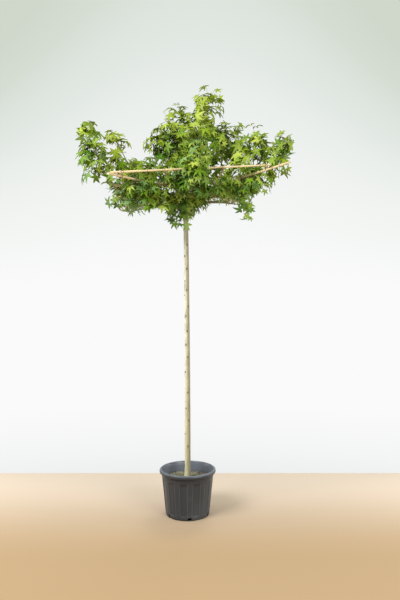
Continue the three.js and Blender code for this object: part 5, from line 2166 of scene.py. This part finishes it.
    def _tones(self, found: Leaves) -> np.ndarray:
        """Deals each leaf one of the tones by its age.

        It is younger in a young mass, high in the mass and in the crown, towards its twig's tip and near the
        skin, and its spray's own age and a little chance are added. Younger tones are lighter: the older
        tones deep inside a mass are painted shade, and the climb with height is partly young growth at the
        top, partly painted shade on the lower leaves.

        Args:
            found: The leaves' places.

        Returns:
            The number of a tone for each leaf.
        """
        chance = np.random.default_rng(91)
        youth, middle, half = (self._of(label, found) for label in ("youth", "middle", "half"))
        high = (found["foot"][:, 2] - middle[:, 2]) / half[:, 2]
        depth = lengths((found["foot"] - middle) / half)
        # The depth term is painted shade: leaves deep inside a mass are dealt older, darker tones. The height
        # terms here and below are partly young growth at the top, partly painted shade lower down.
        age = 0.57 - 0.45 * youth - 0.2 * high + 0.05 * (found["number"] - 2.5) + 0.25 * (0.8 - depth)
        age -= 0.1 * found["share"] + 0.3 * (found["foot"][:, 2] - 3.25)
        age += 0.17 * found["age"] + 0.14 * chance.normal(size=len(youth))
        tone = np.digitize(age, self.tone_ages)
        return tone + ((tone == len(self.tone_ages)) & (found["age"] > self.cool_age))

    def build(self) -> None:
        """Makes the twigs, the stalks and the leaves of each tone."""
        nodes = [mass.name for mass in self.masses]
        wood, found = self.grow()
        bark = BarkFinish(
            "twig_bark",
            light=(0.17, 0.19, 0.06),
            dark=(0.13, 0.12, 0.04),
            scar=(0.05, 0.04, 0.03),
            olive=(0.2, 0.2, 0.06),
            roughness=0.6,
        )
        piece("twigs", bare(wood), bark.make(), nodes)
        pose = self._attitudes(found)
        chance = np.random.default_rng(5)
        shapes = [self.leaf.pattern(*bend) for bend in self.leaf_bends]
        shape_of = chance.integers(0, len(shapes), len(pose["size"]))
        tone_of = self._tones(found)
        fits = self._fits(self._placed(pose, shapes[1].points), found)
        LOG.info("leaves: %d of %d fit", fits.sum(), len(fits))
        stalks = tubes(pose["stalk"][fits], np.full((int(fits.sum()), 3), 0.0009), 3)
        green = BarkFinish(
            "stalk_green",
            light=(0.36, 0.42, 0.1),
            dark=(0.34, 0.3, 0.1),
            scar=(0.1, 0.1, 0.03),
            olive=(0.3, 0.36, 0.1),
            roughness=0.55,
        )
        piece("leaf_stalks", bare(stalks), green.make(), nodes)
        for number, tone in enumerate(LeafTone):
            parts = []
            for kind, shape in enumerate(shapes):
                pick = np.nonzero(fits & (tone_of == number) & (shape_of == kind))[0]
                if not len(pick):
                    continue
                points = self._placed({name: rows[pick] for name, rows in pose.items()}, shape.points)
                size = len(shape.points)
                faces = (shape.faces[0][None] + size * np.arange(len(pick))[:, None, None]).reshape(-1, 3)
                shade = np.repeat(chance.random(len(pick)) ** 2, size)
                values = {"vein": np.tile(shape.values["vein"], len(pick)), "tone": shade}
                charts = np.tile(shape.chart, (len(pick), 1))
                parts.append(Surface(points.reshape(-1, 3), [faces], values, charts))
            if parts:
                piece(f"leaves_{tone.name.lower()}", joined(parts), tone.value.make(), nodes)


# ---- Assembly ----


def main() -> None:
    """Builds the studio and the tree, and notes the sizes."""
    Studio().build()
    pot = NurseryPot()
    pot.build()
    Compost(pot).build()
    trunk = Trunk()
    trunk.build()
    canes = CaneFrame(trunk)
    canes.build()
    Ties(canes).build()
    masses = Layout(trunk, canes).masses()
    Boughs(trunk, masses).build()
    Crown(trunk, canes, masses).build()


if __name__ == "__main__":
    main()
